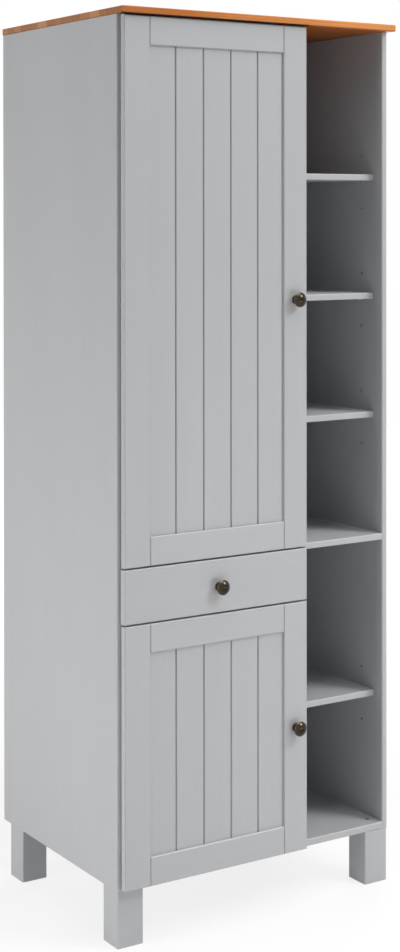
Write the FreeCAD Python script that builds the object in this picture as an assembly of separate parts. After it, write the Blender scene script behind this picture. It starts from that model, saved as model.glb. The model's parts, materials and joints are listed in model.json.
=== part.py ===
import FreeCAD, Part
import math
import os

# Tall cabinet of painted boards under a stained top: an open niche beside two framed doors and a drawer.
# Millimetres, +Z up, the front faces -Y, origin on the floor in the middle of the cabinet's outline.

Vector = FreeCAD.Vector
X_AXIS = Vector(1, 0, 0)
Y_AXIS = Vector(0, 1, 0)
Z_AXIS = Vector(0, 0, 1)

# Carcass and top
HEIGHT = 1800.0
CARCASS_W = 657.0
CARCASS_D = 482.5
BOARD_T = 13.0
BOARD_ARRIS_R = 2.0
UPRIGHT_ARRIS_R = 2.5
BOTTOM_T = 14.0
TOP_T = 14.0
TOP_FRONT_LIP = 27.4
TOP_SIDE_LIP = 1.5
TOP_ARRIS_R = 2.5

# Back panels of thin hardboard, in a rebate along the side panels
BACK_T = 3.0
REBATE_DEEP = 9.0
REBATE_WIDE = 6.0
BACK_PLAY = 0.5

# Square feet, each held by a bolt through the bottom board
FOOT_H = 110.0
FOOT_SIDE = 57.0
FOOT_ARRIS_R = 3.0
FOOT_SIDE_INSET = 1.5
FOOT_BACK_INSET = 26.5
BOLT_R = 3.0
BOLT_PLAY = 0.1
BOLT_HEAD_R = 4.5
BOLT_HEAD_T = 2.0
BOLT_IN_FOOT = 45.0
BOLT_SIDES = 12

# Doors and drawer front, standing just proud of the carcass
DOOR_W = 428.0
DOOR_T = 16.0
DOOR_STANDOFF = 3.0
DOOR_SIDE_INSET = 7.0
DOOR_ARRIS_R = 2.5
DIVIDER_LAP = 7.0
FRONT_GAP = 3.0
DOOR_HEAD_GAP = 1.5
DOOR_SILL_RISE = 3.6
STILE_W = 57.0
RAIL_H = 56.0
JOINT_BEVEL = 1.5

# Door panels, loose in the frame's groove and cut with upright V grooves
PANEL_T = 6.0
PANEL_RECESS = 5.0
PANEL_PLAY = 0.1
PANEL_FLOAT = 1.0
FRAME_GROOVE = 10.0
V_GROOVE_PITCH = 64.2
V_GROOVE_COUNT = 4
V_GROOVE_W = 4.0
V_GROOVE_DEEP = 2.8

# Levels
FIXED_SHELF_TOP = 732.3
UPPER_DOOR_LAP = 2.8
DRAWER_FRONT_H = 105.0
DRAWER_LAP = 5.0

# Loose shelves, as shares of the clear height above and below the fixed shelf
UPPER_SHELF_SHARES = (0.242, 0.4801, 0.7174)
LOWER_SHELF_SHARE = 0.4585
SHELF_SETBACK = 28.0
SHELF_BACK_GAP = 3.5
SHELF_END_PLAY = 1.0
SHELF_SEAT_GAP = 0.05

# Shelf pins and the rows of holes that take them
PIN_R = 2.5
PIN_PLAY = 0.05
PIN_OUT = 8.0
PIN_IN = 7.0
PIN_HOLE_SPARE = 0.5
PIN_COLUMN_INSET = 70.0
PIN_ROW_PITCH = 56.0
PIN_ROWS_EACH_WAY = 1
PIN_SIDES = 8

# Drawer box of thin boards on wooden runners
DRAWER_SIDE_T = 12.0
DRAWER_BOX_H = 76.0
DRAWER_BOX_LIFT = 5.0
DRAWER_BOX_L = 440.0
DRAWER_ARRIS_R = 1.5
DRAWER_SIDE_GAP = 2.0
DRAWER_BOTTOM_T = 4.0
DRAWER_BOTTOM_RISE = 8.0
DRAWER_BOTTOM_GROOVE = 5.0
DRAWER_BOTTOM_PLAY = 0.1
DRAWER_BOTTOM_FLOAT = 0.5
RUNNER_H = 14.0
RUNNER_GROOVE = 7.0
RUNNER_TIP_PLAY = 0.7
RUNNER_RIDE_PLAY = 0.3
RUNNER_SETBACK = 12.0
RUNNER_STOP_PLAY = 1.0
RUNNER_RISE_SHARE = 0.5

# Concealed hinges: a cup let into the stile and a goose-neck arm that turns on the cup's pin
HINGE_END = 100.0
HINGE_ARRIS_R = 3.5
HINGE_PIN_INSET = 9.5
HINGE_PIN_DEEP = 8.0
HINGE_PIN_R = 1.25
HINGE_PIN_PLAY = 0.05
CUP_R = 17.5
CUP_EDGE = 4.0
CUP_DEEP = 12.0
CUP_WALL = 0.8
CUP_PLAY = 0.1
CUP_SIDES = 24
CUP_FLANGE_T = 1.0
CUP_FLANGE_L = 52.0
CUP_FLANGE_W = 16.0
CUP_FLANGE_SHIFT = 4.0
CUP_LUG_T = 2.5
CUP_LUG_GAP = 0.6
EYE_R = 2.6
EYE_SIDES = 12
ARM_T = 2.2
ARM_W = 12.0
ARM_REACH = 12.0
ARM_KNEE_RISE = 8.5
ARM_BACK_RISE = 18.0
ARM_LENGTH = 58.0
ARM_STANDOFF = 9.5
PLATE_T = 2.0
PLATE_L = 48.0
PLATE_WING_W = 14.0
PLATE_SETBACK = 12.0
PLATE_BLOCK_L = 34.0

# Magnetic catches on the divider and their strike plates on the doors
CATCH_W = 12.0
CATCH_L = 34.0
CATCH_H = 14.0
CATCH_GAP = 0.3
STRIKE_T = 1.0
STRIKE_W = 10.0
STRIKE_H = 24.0

# Knobs
KNOB_REACH = 24.0
KNOB_RIM_REACH = 18.0
KNOB_RIM_T = 1.5
KNOB_RIM_R = 15.0
KNOB_BASE_R = 9.0
KNOB_BASE_T = 2.0
KNOB_NECK_R = 6.5
KNOB_NECK_START = 6.0
KNOB_NECK_END = 9.0
KNOB_DOME_RINGS = 5
KNOB_SIDES = 40
UPPER_KNOB_SHARE = 0.476
LOWER_KNOB_SHARE = 0.5
DRAWER_KNOB_SHARE = 0.49

# How far a cutting shape runs past the face that it cuts
OVERRUN = 1.0

# How close two places are that count as one
SAME_PLACE = 1e-6

# Planes of the carcass
LEFT = -CARCASS_W / 2
RIGHT = CARCASS_W / 2
FRONT = (DOOR_STANDOFF + DOOR_T + KNOB_REACH - CARCASS_D) / 2
BACK = FRONT + CARCASS_D
INNER_LEFT = LEFT + BOARD_T
INNER_RIGHT = RIGHT - BOARD_T
INNER_BACK = BACK - REBATE_DEEP
BOTTOM = FOOT_H
INNER_FLOOR = BOTTOM + BOTTOM_T
TOP_UNDERSIDE = HEIGHT - TOP_T

# Planes of the doors and the divider behind their free edge
DOOR_BACK = FRONT - DOOR_STANDOFF
DOOR_FRONT = DOOR_BACK - DOOR_T
DOOR_LEFT = LEFT + DOOR_SIDE_INSET
DOOR_RIGHT = DOOR_LEFT + DOOR_W
DIVIDER_LEFT = DOOR_RIGHT - DIVIDER_LAP
DIVIDER_RIGHT = DIVIDER_LEFT + BOARD_T

# Levels of the fronts and the fixed shelves
FIXED_SHELF_UNDERSIDE = FIXED_SHELF_TOP - BOARD_T
UPPER_DOOR_TOP = TOP_UNDERSIDE - DOOR_HEAD_GAP
UPPER_DOOR_BOTTOM = FIXED_SHELF_TOP - UPPER_DOOR_LAP
DRAWER_FRONT_TOP = UPPER_DOOR_BOTTOM - FRONT_GAP
DRAWER_FRONT_BOTTOM = DRAWER_FRONT_TOP - DRAWER_FRONT_H
LOWER_DOOR_TOP = DRAWER_FRONT_BOTTOM - FRONT_GAP
LOWER_DOOR_BOTTOM = BOTTOM + DOOR_SILL_RISE
BASE_SHELF_TOP = DRAWER_FRONT_BOTTOM + DRAWER_LAP
UPPER_CLEAR = TOP_UNDERSIDE - FIXED_SHELF_TOP
LOWER_CLEAR = FIXED_SHELF_UNDERSIDE - INNER_FLOOR
UPPER_SHELF_TOPS = [FIXED_SHELF_TOP + share * UPPER_CLEAR for share in UPPER_SHELF_SHARES]
LOWER_SHELF_TOP = INNER_FLOOR + LOWER_SHELF_SHARE * LOWER_CLEAR
LOOSE_SHELF_TOPS = [LOWER_SHELF_TOP] + UPPER_SHELF_TOPS

# Hinge axis and hinge heights, the middle one half way between two loose shelves
HINGE_X = DOOR_LEFT + HINGE_PIN_INSET
HINGE_Y = DOOR_BACK - HINGE_PIN_DEEP
CUP_X = DOOR_LEFT + CUP_EDGE + CUP_R
PIN_REACH = ARM_W / 2 + CUP_LUG_GAP
MIDDLE_HINGE_Z = (UPPER_SHELF_TOPS[1] + UPPER_SHELF_TOPS[2] - BOARD_T) / 2
UPPER_HINGE_LEVELS = (UPPER_DOOR_BOTTOM + HINGE_END, MIDDLE_HINGE_Z, UPPER_DOOR_TOP - HINGE_END)
LOWER_HINGE_LEVELS = (LOWER_DOOR_BOTTOM + HINGE_END, LOWER_DOOR_TOP - HINGE_END)

# Drawer box and its runners
BOX_LEFT = INNER_LEFT + DRAWER_SIDE_GAP
BOX_RIGHT = DIVIDER_LEFT - DRAWER_SIDE_GAP
BOX_BOTTOM = BASE_SHELF_TOP + DRAWER_BOX_LIFT
BOX_TOP = BOX_BOTTOM + DRAWER_BOX_H
BOX_BACK = DOOR_BACK + DRAWER_BOX_L
RUNNER_T = DRAWER_SIDE_GAP + RUNNER_GROOVE - RUNNER_TIP_PLAY
RUNNER_BOTTOM = BOX_BOTTOM + RUNNER_RISE_SHARE * (DRAWER_BOX_H - RUNNER_H)
RUNNER_TOP = RUNNER_BOTTOM + RUNNER_H


def block(x0, x1, y0, y1, z0, z1):
    """A box between two planes along each axis."""
    return Part.makeBox(x1 - x0, y1 - y0, z1 - z0, Vector(x0, y0, z0))


def rod(radius, length, start, axis):
    """A round rod from a start point along an axis."""
    return Part.makeCylinder(radius, length, start, axis)


def turned(profile, sides, start, axis):
    """A turned piece drawn with flat sides, from rings of radius and height along an axis."""
    across = Y_AXIS if axis == X_AXIS else X_AXIS
    side = axis.cross(across)
    step = math.pi / sides

    def ring(radius, height):
        corner = radius / math.cos(step)
        turns = [step * (number + number + 1) for number in range(sides)]
        return [start + axis * height + (across * math.cos(t) + side * math.sin(t)) * corner for t in turns]

    rings = [ring(radius, height) for radius, height in profile]
    outlines = [end for end in (rings[0], rings[-1]) if end[0] != end[1]]
    for low, high in zip(rings, rings[1:]):
        for k in range(sides):
            flat = [low[k - 1], low[k], high[k], high[k - 1]]
            outlines.append(flat if high[k] != high[k - 1] else flat[:-1])
    faces = [Part.Face(Part.makePolygon(outline + outline[:1])) for outline in outlines]
    solid = Part.makeSolid(Part.makeShell(faces))
    if solid.Volume < 0:
        solid.reverse()
    return solid


def bar(radius, length, sides, start, axis):
    """A straight turned bar from a start point along an axis."""
    return turned([(radius, 0), (radius, length)], sides, start, axis)


def edges_on(shape, x=None, y=None, z=None):
    """The edges of a shape that lie in every plane that is given."""
    planes = [(axis, place) for axis, place in enumerate((x, y, z)) if place is not None]

    def lies_there(point):
        return all(abs(point[axis] - place) < SAME_PLACE for axis, place in planes)

    return [edge for edge in shape.Edges if all(lies_there(vertex.Point) for vertex in edge.Vertexes)]


def prism(points, direction):
    """A straight prism on a flat outline."""
    return Part.Face(Part.makePolygon(points + points[:1])).extrude(direction)


def upright_cut(x, y, z0, z1, half_width, depth):
    """A V-shaped cutter along Z, whose mouth is centred on x in the plane y and opens towards -Y."""
    mouth = y - OVERRUN
    wide = half_width * (depth + OVERRUN) / depth
    outline = [Vector(x - wide, mouth, z0), Vector(x + wide, mouth, z0), Vector(x, y + depth, z0)]
    return prism(outline, Vector(0, 0, z1 - z0))


def level_cut(z, y, x0, x1, half_height, depth):
    """A V-shaped cutter along X, whose mouth is centred on z in the plane y and opens towards -Y."""
    mouth = y - OVERRUN
    tall = half_height * (depth + OVERRUN) / depth
    outline = [Vector(x0, mouth, z - tall), Vector(x0, mouth, z + tall), Vector(x0, y + depth, z)]
    return prism(outline, Vector(x1 - x0, 0, 0))


def front_rounded(board, front):
    """A level board with its two long front arrises rounded."""
    box = board.BoundBox
    picked = edges_on(board, y=front, z=box.ZMin) + edges_on(board, y=front, z=box.ZMax)
    return board.makeFillet(BOARD_ARRIS_R, picked)


def side_panels():
    """The two side panels, rebated behind for the back panels."""
    panels = {}
    for name, x0, inward in (("left_side_panel", LEFT, 1), ("right_side_panel", INNER_RIGHT, -1)):
        panel = block(x0, x0 + BOARD_T, FRONT, BACK, BOTTOM, TOP_UNDERSIDE)
        arrises = edges_on(panel, x=x0, y=FRONT) + edges_on(panel, x=x0 + BOARD_T, y=FRONT)
        panel = panel.makeFillet(UPRIGHT_ARRIS_R, arrises)
        inner = INNER_LEFT if inward > 0 else INNER_RIGHT
        near, far = sorted((inner - inward * REBATE_WIDE, inner + inward * OVERRUN))
        rebate = block(near, far, INNER_BACK, BACK + OVERRUN, BOTTOM - OVERRUN, TOP_UNDERSIDE + OVERRUN)
        panels[name] = panel.cut(rebate)
    return panels


def divider():
    """The upright panel between the cupboard and the niche."""
    panel = block(DIVIDER_LEFT, DIVIDER_RIGHT, FRONT, INNER_BACK, INNER_FLOOR, TOP_UNDERSIDE)
    arrises = edges_on(panel, x=DIVIDER_LEFT, y=FRONT) + edges_on(panel, x=DIVIDER_RIGHT, y=FRONT)
    return panel.makeFillet(UPRIGHT_ARRIS_R, arrises)


def top_board():
    """The stained top, flush behind and proud in front, with softened arrises."""
    x0 = LEFT - TOP_SIDE_LIP
    x1 = RIGHT + TOP_SIDE_LIP
    y0 = FRONT - TOP_FRONT_LIP
    board = block(x0, x1, y0, BACK, TOP_UNDERSIDE, HEIGHT)
    picked = edges_on(board, y=y0, z=HEIGHT) + edges_on(board, y=y0, z=TOP_UNDERSIDE)
    for x in (x0, x1):
        picked += edges_on(board, x=x, z=HEIGHT) + edges_on(board, x=x, z=TOP_UNDERSIDE)
    return board.makeFillet(TOP_ARRIS_R, picked)


def fixed_boards():
    """The boards fixed level between the uprights, flush in front."""
    spans = {
        "bottom_board": (INNER_LEFT, INNER_RIGHT, BOTTOM, INNER_FLOOR),
        "niche_fixed_shelf": (DIVIDER_RIGHT, INNER_RIGHT, FIXED_SHELF_UNDERSIDE, FIXED_SHELF_TOP),
        "drawer_top_shelf": (INNER_LEFT, DIVIDER_LEFT, FIXED_SHELF_UNDERSIDE, FIXED_SHELF_TOP),
        "drawer_base_shelf": (INNER_LEFT, DIVIDER_LEFT, BASE_SHELF_TOP - BOARD_T, BASE_SHELF_TOP),
    }
    return {
        name: front_rounded(block(x0, x1, FRONT, INNER_BACK, z0, z1), FRONT)
        for name, (x0, x1, z0, z1) in spans.items()
    }


def back_panels():
    """Two thin back panels that meet behind the fixed shelf."""
    x0 = INNER_LEFT - REBATE_WIDE + BACK_PLAY
    x1 = INNER_RIGHT + REBATE_WIDE - BACK_PLAY
    seam = (FIXED_SHELF_UNDERSIDE + FIXED_SHELF_TOP) / 2
    y1 = INNER_BACK + BACK_T
    return {
        "lower_back_panel": block(x0, x1, INNER_BACK, y1, BOTTOM, seam - BACK_PLAY),
        "upper_back_panel": block(x0, x1, INNER_BACK, y1, seam + BACK_PLAY, TOP_UNDERSIDE - BACK_PLAY),
    }


def loose_shelves():
    """The loose shelves of niche and cupboard, each set back from the front."""
    shelves = {}
    y0 = FRONT + SHELF_SETBACK
    y1 = INNER_BACK - SHELF_BACK_GAP
    columns = {"niche": (DIVIDER_RIGHT, INNER_RIGHT), "cupboard": (INNER_LEFT, DIVIDER_LEFT)}
    for column, (left, right) in columns.items():
        for number, top in enumerate(LOOSE_SHELF_TOPS):
            shelf = block(left + SHELF_END_PLAY, right - SHELF_END_PLAY, y0, y1, top - BOARD_T, top)
            shelves[f"{column}_shelf_{number + 1}"] = front_rounded(shelf, y0)
    return shelves


def pin_places(rows):
    """The centres of the shelf-pin holes in Y and Z, with spare rows above and below the one in use."""
    columns = (FRONT + PIN_COLUMN_INSET, INNER_BACK - PIN_COLUMN_INSET)
    levels = [
        top - BOARD_T - SHELF_SEAT_GAP - PIN_R + row * PIN_ROW_PITCH
        for top in LOOSE_SHELF_TOPS
        for row in rows
    ]
    return [(y, z) for y in columns for z in levels]


def shelf_pins():
    """The pins under the loose shelves; those in the divider go right through it and serve both sides."""
    pins = []
    for y, z in pin_places((0,)):
        for x, length in (
            (INNER_LEFT - PIN_IN, PIN_IN + PIN_OUT),
            (DIVIDER_LEFT - PIN_OUT, PIN_OUT + BOARD_T + PIN_OUT),
            (INNER_RIGHT - PIN_OUT, PIN_OUT + PIN_IN),
        ):
            pins.append(bar(PIN_R, length, PIN_SIDES, Vector(x, y, z), X_AXIS))
    return Part.makeCompound(pins)


def pin_holes(x, length):
    """Cutters for the shelf-pin holes of one upright, from a start plane along X."""
    rows = range(-PIN_ROWS_EACH_WAY, PIN_ROWS_EACH_WAY + 1)
    return [bar(PIN_R + PIN_PLAY, length, PIN_SIDES, Vector(x, y, z), X_AXIS) for y, z in pin_places(rows)]


def foot_centres():
    """The middle of each foot, by name."""
    half = FOOT_SIDE / 2
    columns = {"left": LEFT + FOOT_SIDE_INSET + half, "right": RIGHT - FOOT_SIDE_INSET - half}
    ranks = {"front": FRONT + half, "back": BACK - FOOT_BACK_INSET - half}
    return {f"{rank}_{side}": (x, y) for rank, y in ranks.items() for side, x in columns.items()}


def feet():
    """The four square feet, each drilled from above for its bolt."""
    half = FOOT_SIDE / 2
    made = {}
    for place, (x, y) in foot_centres().items():
        foot = block(x - half, x + half, y - half, y + half, 0, FOOT_H)
        corners = [edges_on(foot, x=x + i * half, y=y + j * half)[0] for i in (-1, 1) for j in (-1, 1)]
        foot = foot.makeFillet(FOOT_ARRIS_R, corners)
        depth = BOLT_IN_FOOT + OVERRUN
        bore = bar(BOLT_R + BOLT_PLAY, depth + OVERRUN, BOLT_SIDES, Vector(x, y, FOOT_H - depth), Z_AXIS)
        made[f"{place}_foot"] = foot.cut(bore)
    return made


def foot_bolts():
    """The bolts that hold the feet, their heads on the bottom board."""
    shank = BOLT_IN_FOOT + BOTTOM_T
    profile = [(BOLT_R, 0), (BOLT_R, shank), (BOLT_HEAD_R, shank), (BOLT_HEAD_R, shank + BOLT_HEAD_T)]
    tip = BOTTOM - BOLT_IN_FOOT
    places = foot_centres().values()
    return Part.makeCompound([turned(profile, BOLT_SIDES, Vector(x, y, tip), Z_AXIS) for x, y in places])


def bolt_holes():
    """Cutters for the bolts through the bottom board."""
    length = BOTTOM_T + OVERRUN + OVERRUN
    radius = BOLT_R + BOLT_PLAY
    places = foot_centres().values()
    return [bar(radius, length, BOLT_SIDES, Vector(x, y, BOTTOM - OVERRUN), Z_AXIS) for x, y in places]


def knob(x, z):
    """A turned mushroom knob on a front: a flared base, a waist and a domed head."""
    profile = [
        (KNOB_BASE_R, 0),
        (KNOB_BASE_R, KNOB_BASE_T),
        (KNOB_NECK_R, KNOB_NECK_START),
        (KNOB_NECK_R, KNOB_NECK_END),
        (KNOB_RIM_R, KNOB_RIM_REACH - KNOB_RIM_T),
    ]
    rise = KNOB_REACH - KNOB_RIM_REACH
    dome_r = (KNOB_RIM_R**2 + rise**2) / (rise + rise)
    rim_turn = math.asin(KNOB_RIM_R / dome_r)
    for number in range(KNOB_DOME_RINGS, -1, -1):
        turn = rim_turn * number / KNOB_DOME_RINGS
        profile.append((dome_r * math.sin(turn), KNOB_REACH - dome_r * (1 - math.cos(turn))))
    return turned(profile, KNOB_SIDES, Vector(x, DOOR_FRONT, z), -Y_AXIS)


def door_frame_groove(x0, x1, z0, z1):
    """A cutter for the groove that holds the panel and the rails' tongues."""
    panel_front = DOOR_FRONT + PANEL_RECESS
    return block(x0, x1, panel_front - PANEL_PLAY, panel_front + PANEL_T + PANEL_PLAY, z0, z1)


def stile(x0, inner, z0, z1):
    """One stile of a door: rounded outside, grooved and bevelled inside."""
    x1 = x0 + STILE_W
    outer = x1 if inner == x0 else x0
    piece = block(x0, x1, DOOR_FRONT, DOOR_BACK, z0, z1)
    picked = edges_on(piece, x=outer, y=DOOR_FRONT)
    picked += edges_on(piece, y=DOOR_FRONT, z=z0) + edges_on(piece, y=DOOR_FRONT, z=z1)
    piece = piece.makeFillet(DOOR_ARRIS_R, picked)
    if outer == DOOR_LEFT:
        piece = piece.makeFillet(HINGE_ARRIS_R, edges_on(piece, x=outer, y=DOOR_BACK))
    near, far = sorted((inner, inner + math.copysign(FRAME_GROOVE, outer - inner)))
    piece = piece.cut(door_frame_groove(near, far, z0 - OVERRUN, z1 + OVERRUN))
    return piece.cut(upright_cut(inner, DOOR_FRONT, z0 - OVERRUN, z1 + OVERRUN, JOINT_BEVEL, JOINT_BEVEL))


def rail(x0, x1, z0, z1, inner):
    """One rail of a door, with a tongue at each end that fills the stiles' grooves."""
    outer = z1 if inner == z0 else z0
    piece = block(x0, x1, DOOR_FRONT, DOOR_BACK, z0, z1)
    piece = piece.makeFillet(DOOR_ARRIS_R, edges_on(piece, y=DOOR_FRONT, z=outer))
    for x in (x0, x1):
        piece = piece.cut(upright_cut(x, DOOR_FRONT, z0 - OVERRUN, z1 + OVERRUN, JOINT_BEVEL, JOINT_BEVEL))
    piece = piece.cut(level_cut(inner, DOOR_FRONT, x0 - OVERRUN, x1 + OVERRUN, JOINT_BEVEL, JOINT_BEVEL))
    tongue = FRAME_GROOVE - PANEL_FLOAT
    panel_front = DOOR_FRONT + PANEL_RECESS
    piece = piece.fuse(block(x0 - tongue, x1 + tongue, panel_front, panel_front + PANEL_T, z0, z1))
    near, far = sorted((inner, inner + math.copysign(FRAME_GROOVE, outer - inner)))
    overreach = tongue + OVERRUN
    return piece.cut(door_frame_groove(x0 - overreach, x1 + overreach, near, far)).removeSplitter()


def door_panel(x0, x1, z0, z1):
    """The grooved panel of a door, let into the frame all round."""
    let_in = FRAME_GROOVE - PANEL_FLOAT
    front = DOOR_FRONT + PANEL_RECESS
    panel = block(x0 - let_in, x1 + let_in, front, front + PANEL_T, z0 - let_in, z1 + let_in)
    middle = (x0 + x1) / 2
    first = middle - V_GROOVE_PITCH * (V_GROOVE_COUNT - 1) / 2
    places = [first + V_GROOVE_PITCH * number for number in range(V_GROOVE_COUNT)]
    low = z0 - FRAME_GROOVE
    high = z1 + FRAME_GROOVE
    return panel.cut([upright_cut(x, front, low, high, V_GROOVE_W / 2, V_GROOVE_DEEP) for x in places])


def hinge_cup(z):
    """One hinge cup with its flange on the door's back and two lugs that carry the pin."""
    floor = Vector(CUP_X, DOOR_BACK - CUP_DEEP, z)
    outside = bar(CUP_R - CUP_PLAY, CUP_DEEP, CUP_SIDES, floor, Y_AXIS)
    hollow = CUP_DEEP + CUP_FLANGE_T + OVERRUN
    inside = bar(CUP_R - CUP_PLAY - CUP_WALL, hollow, CUP_SIDES, floor + Y_AXIS * CUP_WALL, Y_AXIS)
    half = CUP_FLANGE_L / 2
    flange_x = CUP_X + CUP_FLANGE_SHIFT - CUP_FLANGE_W / 2
    flange_back = DOOR_BACK + CUP_FLANGE_T
    flange = block(flange_x, flange_x + CUP_FLANGE_W, DOOR_BACK, flange_back, z - half, z + half)
    cup = outside.fuse(flange).cut(inside)
    for side in (-1, 1):
        low, high = sorted((z + side * PIN_REACH, z + side * (PIN_REACH + CUP_LUG_T)))
        lug = block(CUP_X - CUP_R, HINGE_X + EYE_R, floor.y, HINGE_Y + EYE_R, low, high)
        cup = cup.fuse(lug.common(outside))
    return cup.removeSplitter()


def hinge_pin(z):
    """The pin of one hinge, between the cup's lugs."""
    return rod(HINGE_PIN_R, PIN_REACH + PIN_REACH, Vector(HINGE_X, HINGE_Y, z - PIN_REACH), Z_AXIS)


def bent_strip(points, thickness, width):
    """A strip of even thickness along a row of points in the level plane, standing on that plane."""
    sides = [Vector(a.y - b.y, b.x - a.x, 0).normalize() for a, b in zip(points, points[1:])]
    before = sides[:1] + sides
    after = sides + sides[-1:]
    offsets = [(a + b) * (thickness / 2 / (1 + a.dot(b))) for a, b in zip(before, after)]
    near = [point + offset for point, offset in zip(points, offsets)]
    far = [point - offset for point, offset in zip(points, offsets)]
    return prism(near + far[::-1], Vector(0, 0, width))


def hinge_arm(z):
    """One goose-neck arm: an eye on the pin, a bend round the door's edge and a foot on its plate."""
    low = z - ARM_W / 2
    axis = Vector(HINGE_X, HINGE_Y, low)
    knee = axis + X_AXIS * ARM_REACH
    foot_x = INNER_LEFT + ARM_STANDOFF
    points = [
        axis,
        knee,
        knee + Y_AXIS * ARM_KNEE_RISE,
        Vector(foot_x, HINGE_Y + ARM_BACK_RISE, low),
        Vector(foot_x, HINGE_Y + ARM_LENGTH, low),
    ]
    eye = bar(EYE_R, ARM_W, EYE_SIDES, axis, Z_AXIS)
    bore = rod(HINGE_PIN_R + HINGE_PIN_PLAY, ARM_W + OVERRUN + OVERRUN, axis - Z_AXIS * OVERRUN, Z_AXIS)
    return bent_strip(points, ARM_T, ARM_W).fuse(eye).cut(bore).removeSplitter()


def hinge_plate(z):
    """One mounting plate: a raised block under the arm and two wings for the screws."""
    y0 = FRONT + PLATE_SETBACK
    y1 = y0 + PLATE_BLOCK_L
    middle = (y0 + y1) / 2
    seat = INNER_LEFT + ARM_STANDOFF - ARM_T / 2
    raised = block(INNER_LEFT, seat, y0, y1, z - ARM_W / 2, z + ARM_W / 2)
    wing_y = PLATE_WING_W / 2
    wings = block(
        INNER_LEFT, INNER_LEFT + PLATE_T, middle - wing_y, middle + wing_y, z - PLATE_L / 2, z + PLATE_L / 2
    )
    return raised.fuse(wings).removeSplitter()


def catch_body(z):
    """One magnetic catch on the divider, its face close to the door's strike plate."""
    y0 = DOOR_BACK + STRIKE_T + CATCH_GAP
    return block(DIVIDER_LEFT - CATCH_W, DIVIDER_LEFT, y0, y0 + CATCH_L, z - CATCH_H / 2, z + CATCH_H / 2)


def strike_plate(z):
    """The strike plate of a catch, on the back of a door."""
    middle = DIVIDER_LEFT - CATCH_W / 2
    half_w = STRIKE_W / 2
    half_h = STRIKE_H / 2
    return block(middle - half_w, middle + half_w, DOOR_BACK, DOOR_BACK + STRIKE_T, z - half_h, z + half_h)


def door(name, z0, z1, hinge_levels, knob_share):
    """One framed door with its knob, hinge cups and strike plate."""
    panel_left = DOOR_LEFT + STILE_W
    panel_right = DOOR_RIGHT - STILE_W
    cup_floors = [Vector(CUP_X, DOOR_BACK - CUP_DEEP, z) for z in hinge_levels]
    cup_bores = [bar(CUP_R, CUP_DEEP + OVERRUN, CUP_SIDES, floor, Y_AXIS) for floor in cup_floors]
    return {
        f"{name}_left_stile": stile(DOOR_LEFT, panel_left, z0, z1).cut(cup_bores),
        f"{name}_right_stile": stile(panel_right, panel_right, z0, z1),
        f"{name}_top_rail": rail(panel_left, panel_right, z1 - RAIL_H, z1, z1 - RAIL_H),
        f"{name}_bottom_rail": rail(panel_left, panel_right, z0, z0 + RAIL_H, z0 + RAIL_H),
        f"{name}_panel": door_panel(panel_left, panel_right, z0 + RAIL_H, z1 - RAIL_H),
        f"{name}_knob": knob(DOOR_RIGHT - STILE_W / 2, z0 + knob_share * (z1 - z0)),
        f"{name}_hinge_cups": Part.makeCompound([hinge_cup(z) for z in hinge_levels]),
        f"{name}_hinge_pins": Part.makeCompound([hinge_pin(z) for z in hinge_levels]),
        f"{name}_hinge_arms": Part.makeCompound([hinge_arm(z) for z in hinge_levels]),
        f"{name}_hinge_plates": Part.makeCompound([hinge_plate(z) for z in hinge_levels]),
        f"{name}_strike_plate": strike_plate(hinge_levels[-1]),
    }


def drawer_front():
    """The plain slab in front of the drawer, rounded round its face."""
    slab = block(DOOR_LEFT, DOOR_RIGHT, DOOR_FRONT, DOOR_BACK, DRAWER_FRONT_BOTTOM, DRAWER_FRONT_TOP)
    return slab.makeFillet(DOOR_ARRIS_R, edges_on(slab, y=DOOR_FRONT))


def top_rounded(board):
    """A drawer board with its two long top arrises rounded."""
    box = board.BoundBox
    if box.XLength > box.YLength:
        picked = edges_on(board, y=box.YMin, z=box.ZMax) + edges_on(board, y=box.YMax, z=box.ZMax)
    else:
        picked = edges_on(board, x=box.XMin, z=box.ZMax) + edges_on(board, x=box.XMax, z=box.ZMax)
    return board.makeFillet(DRAWER_ARRIS_R, picked)


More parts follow.
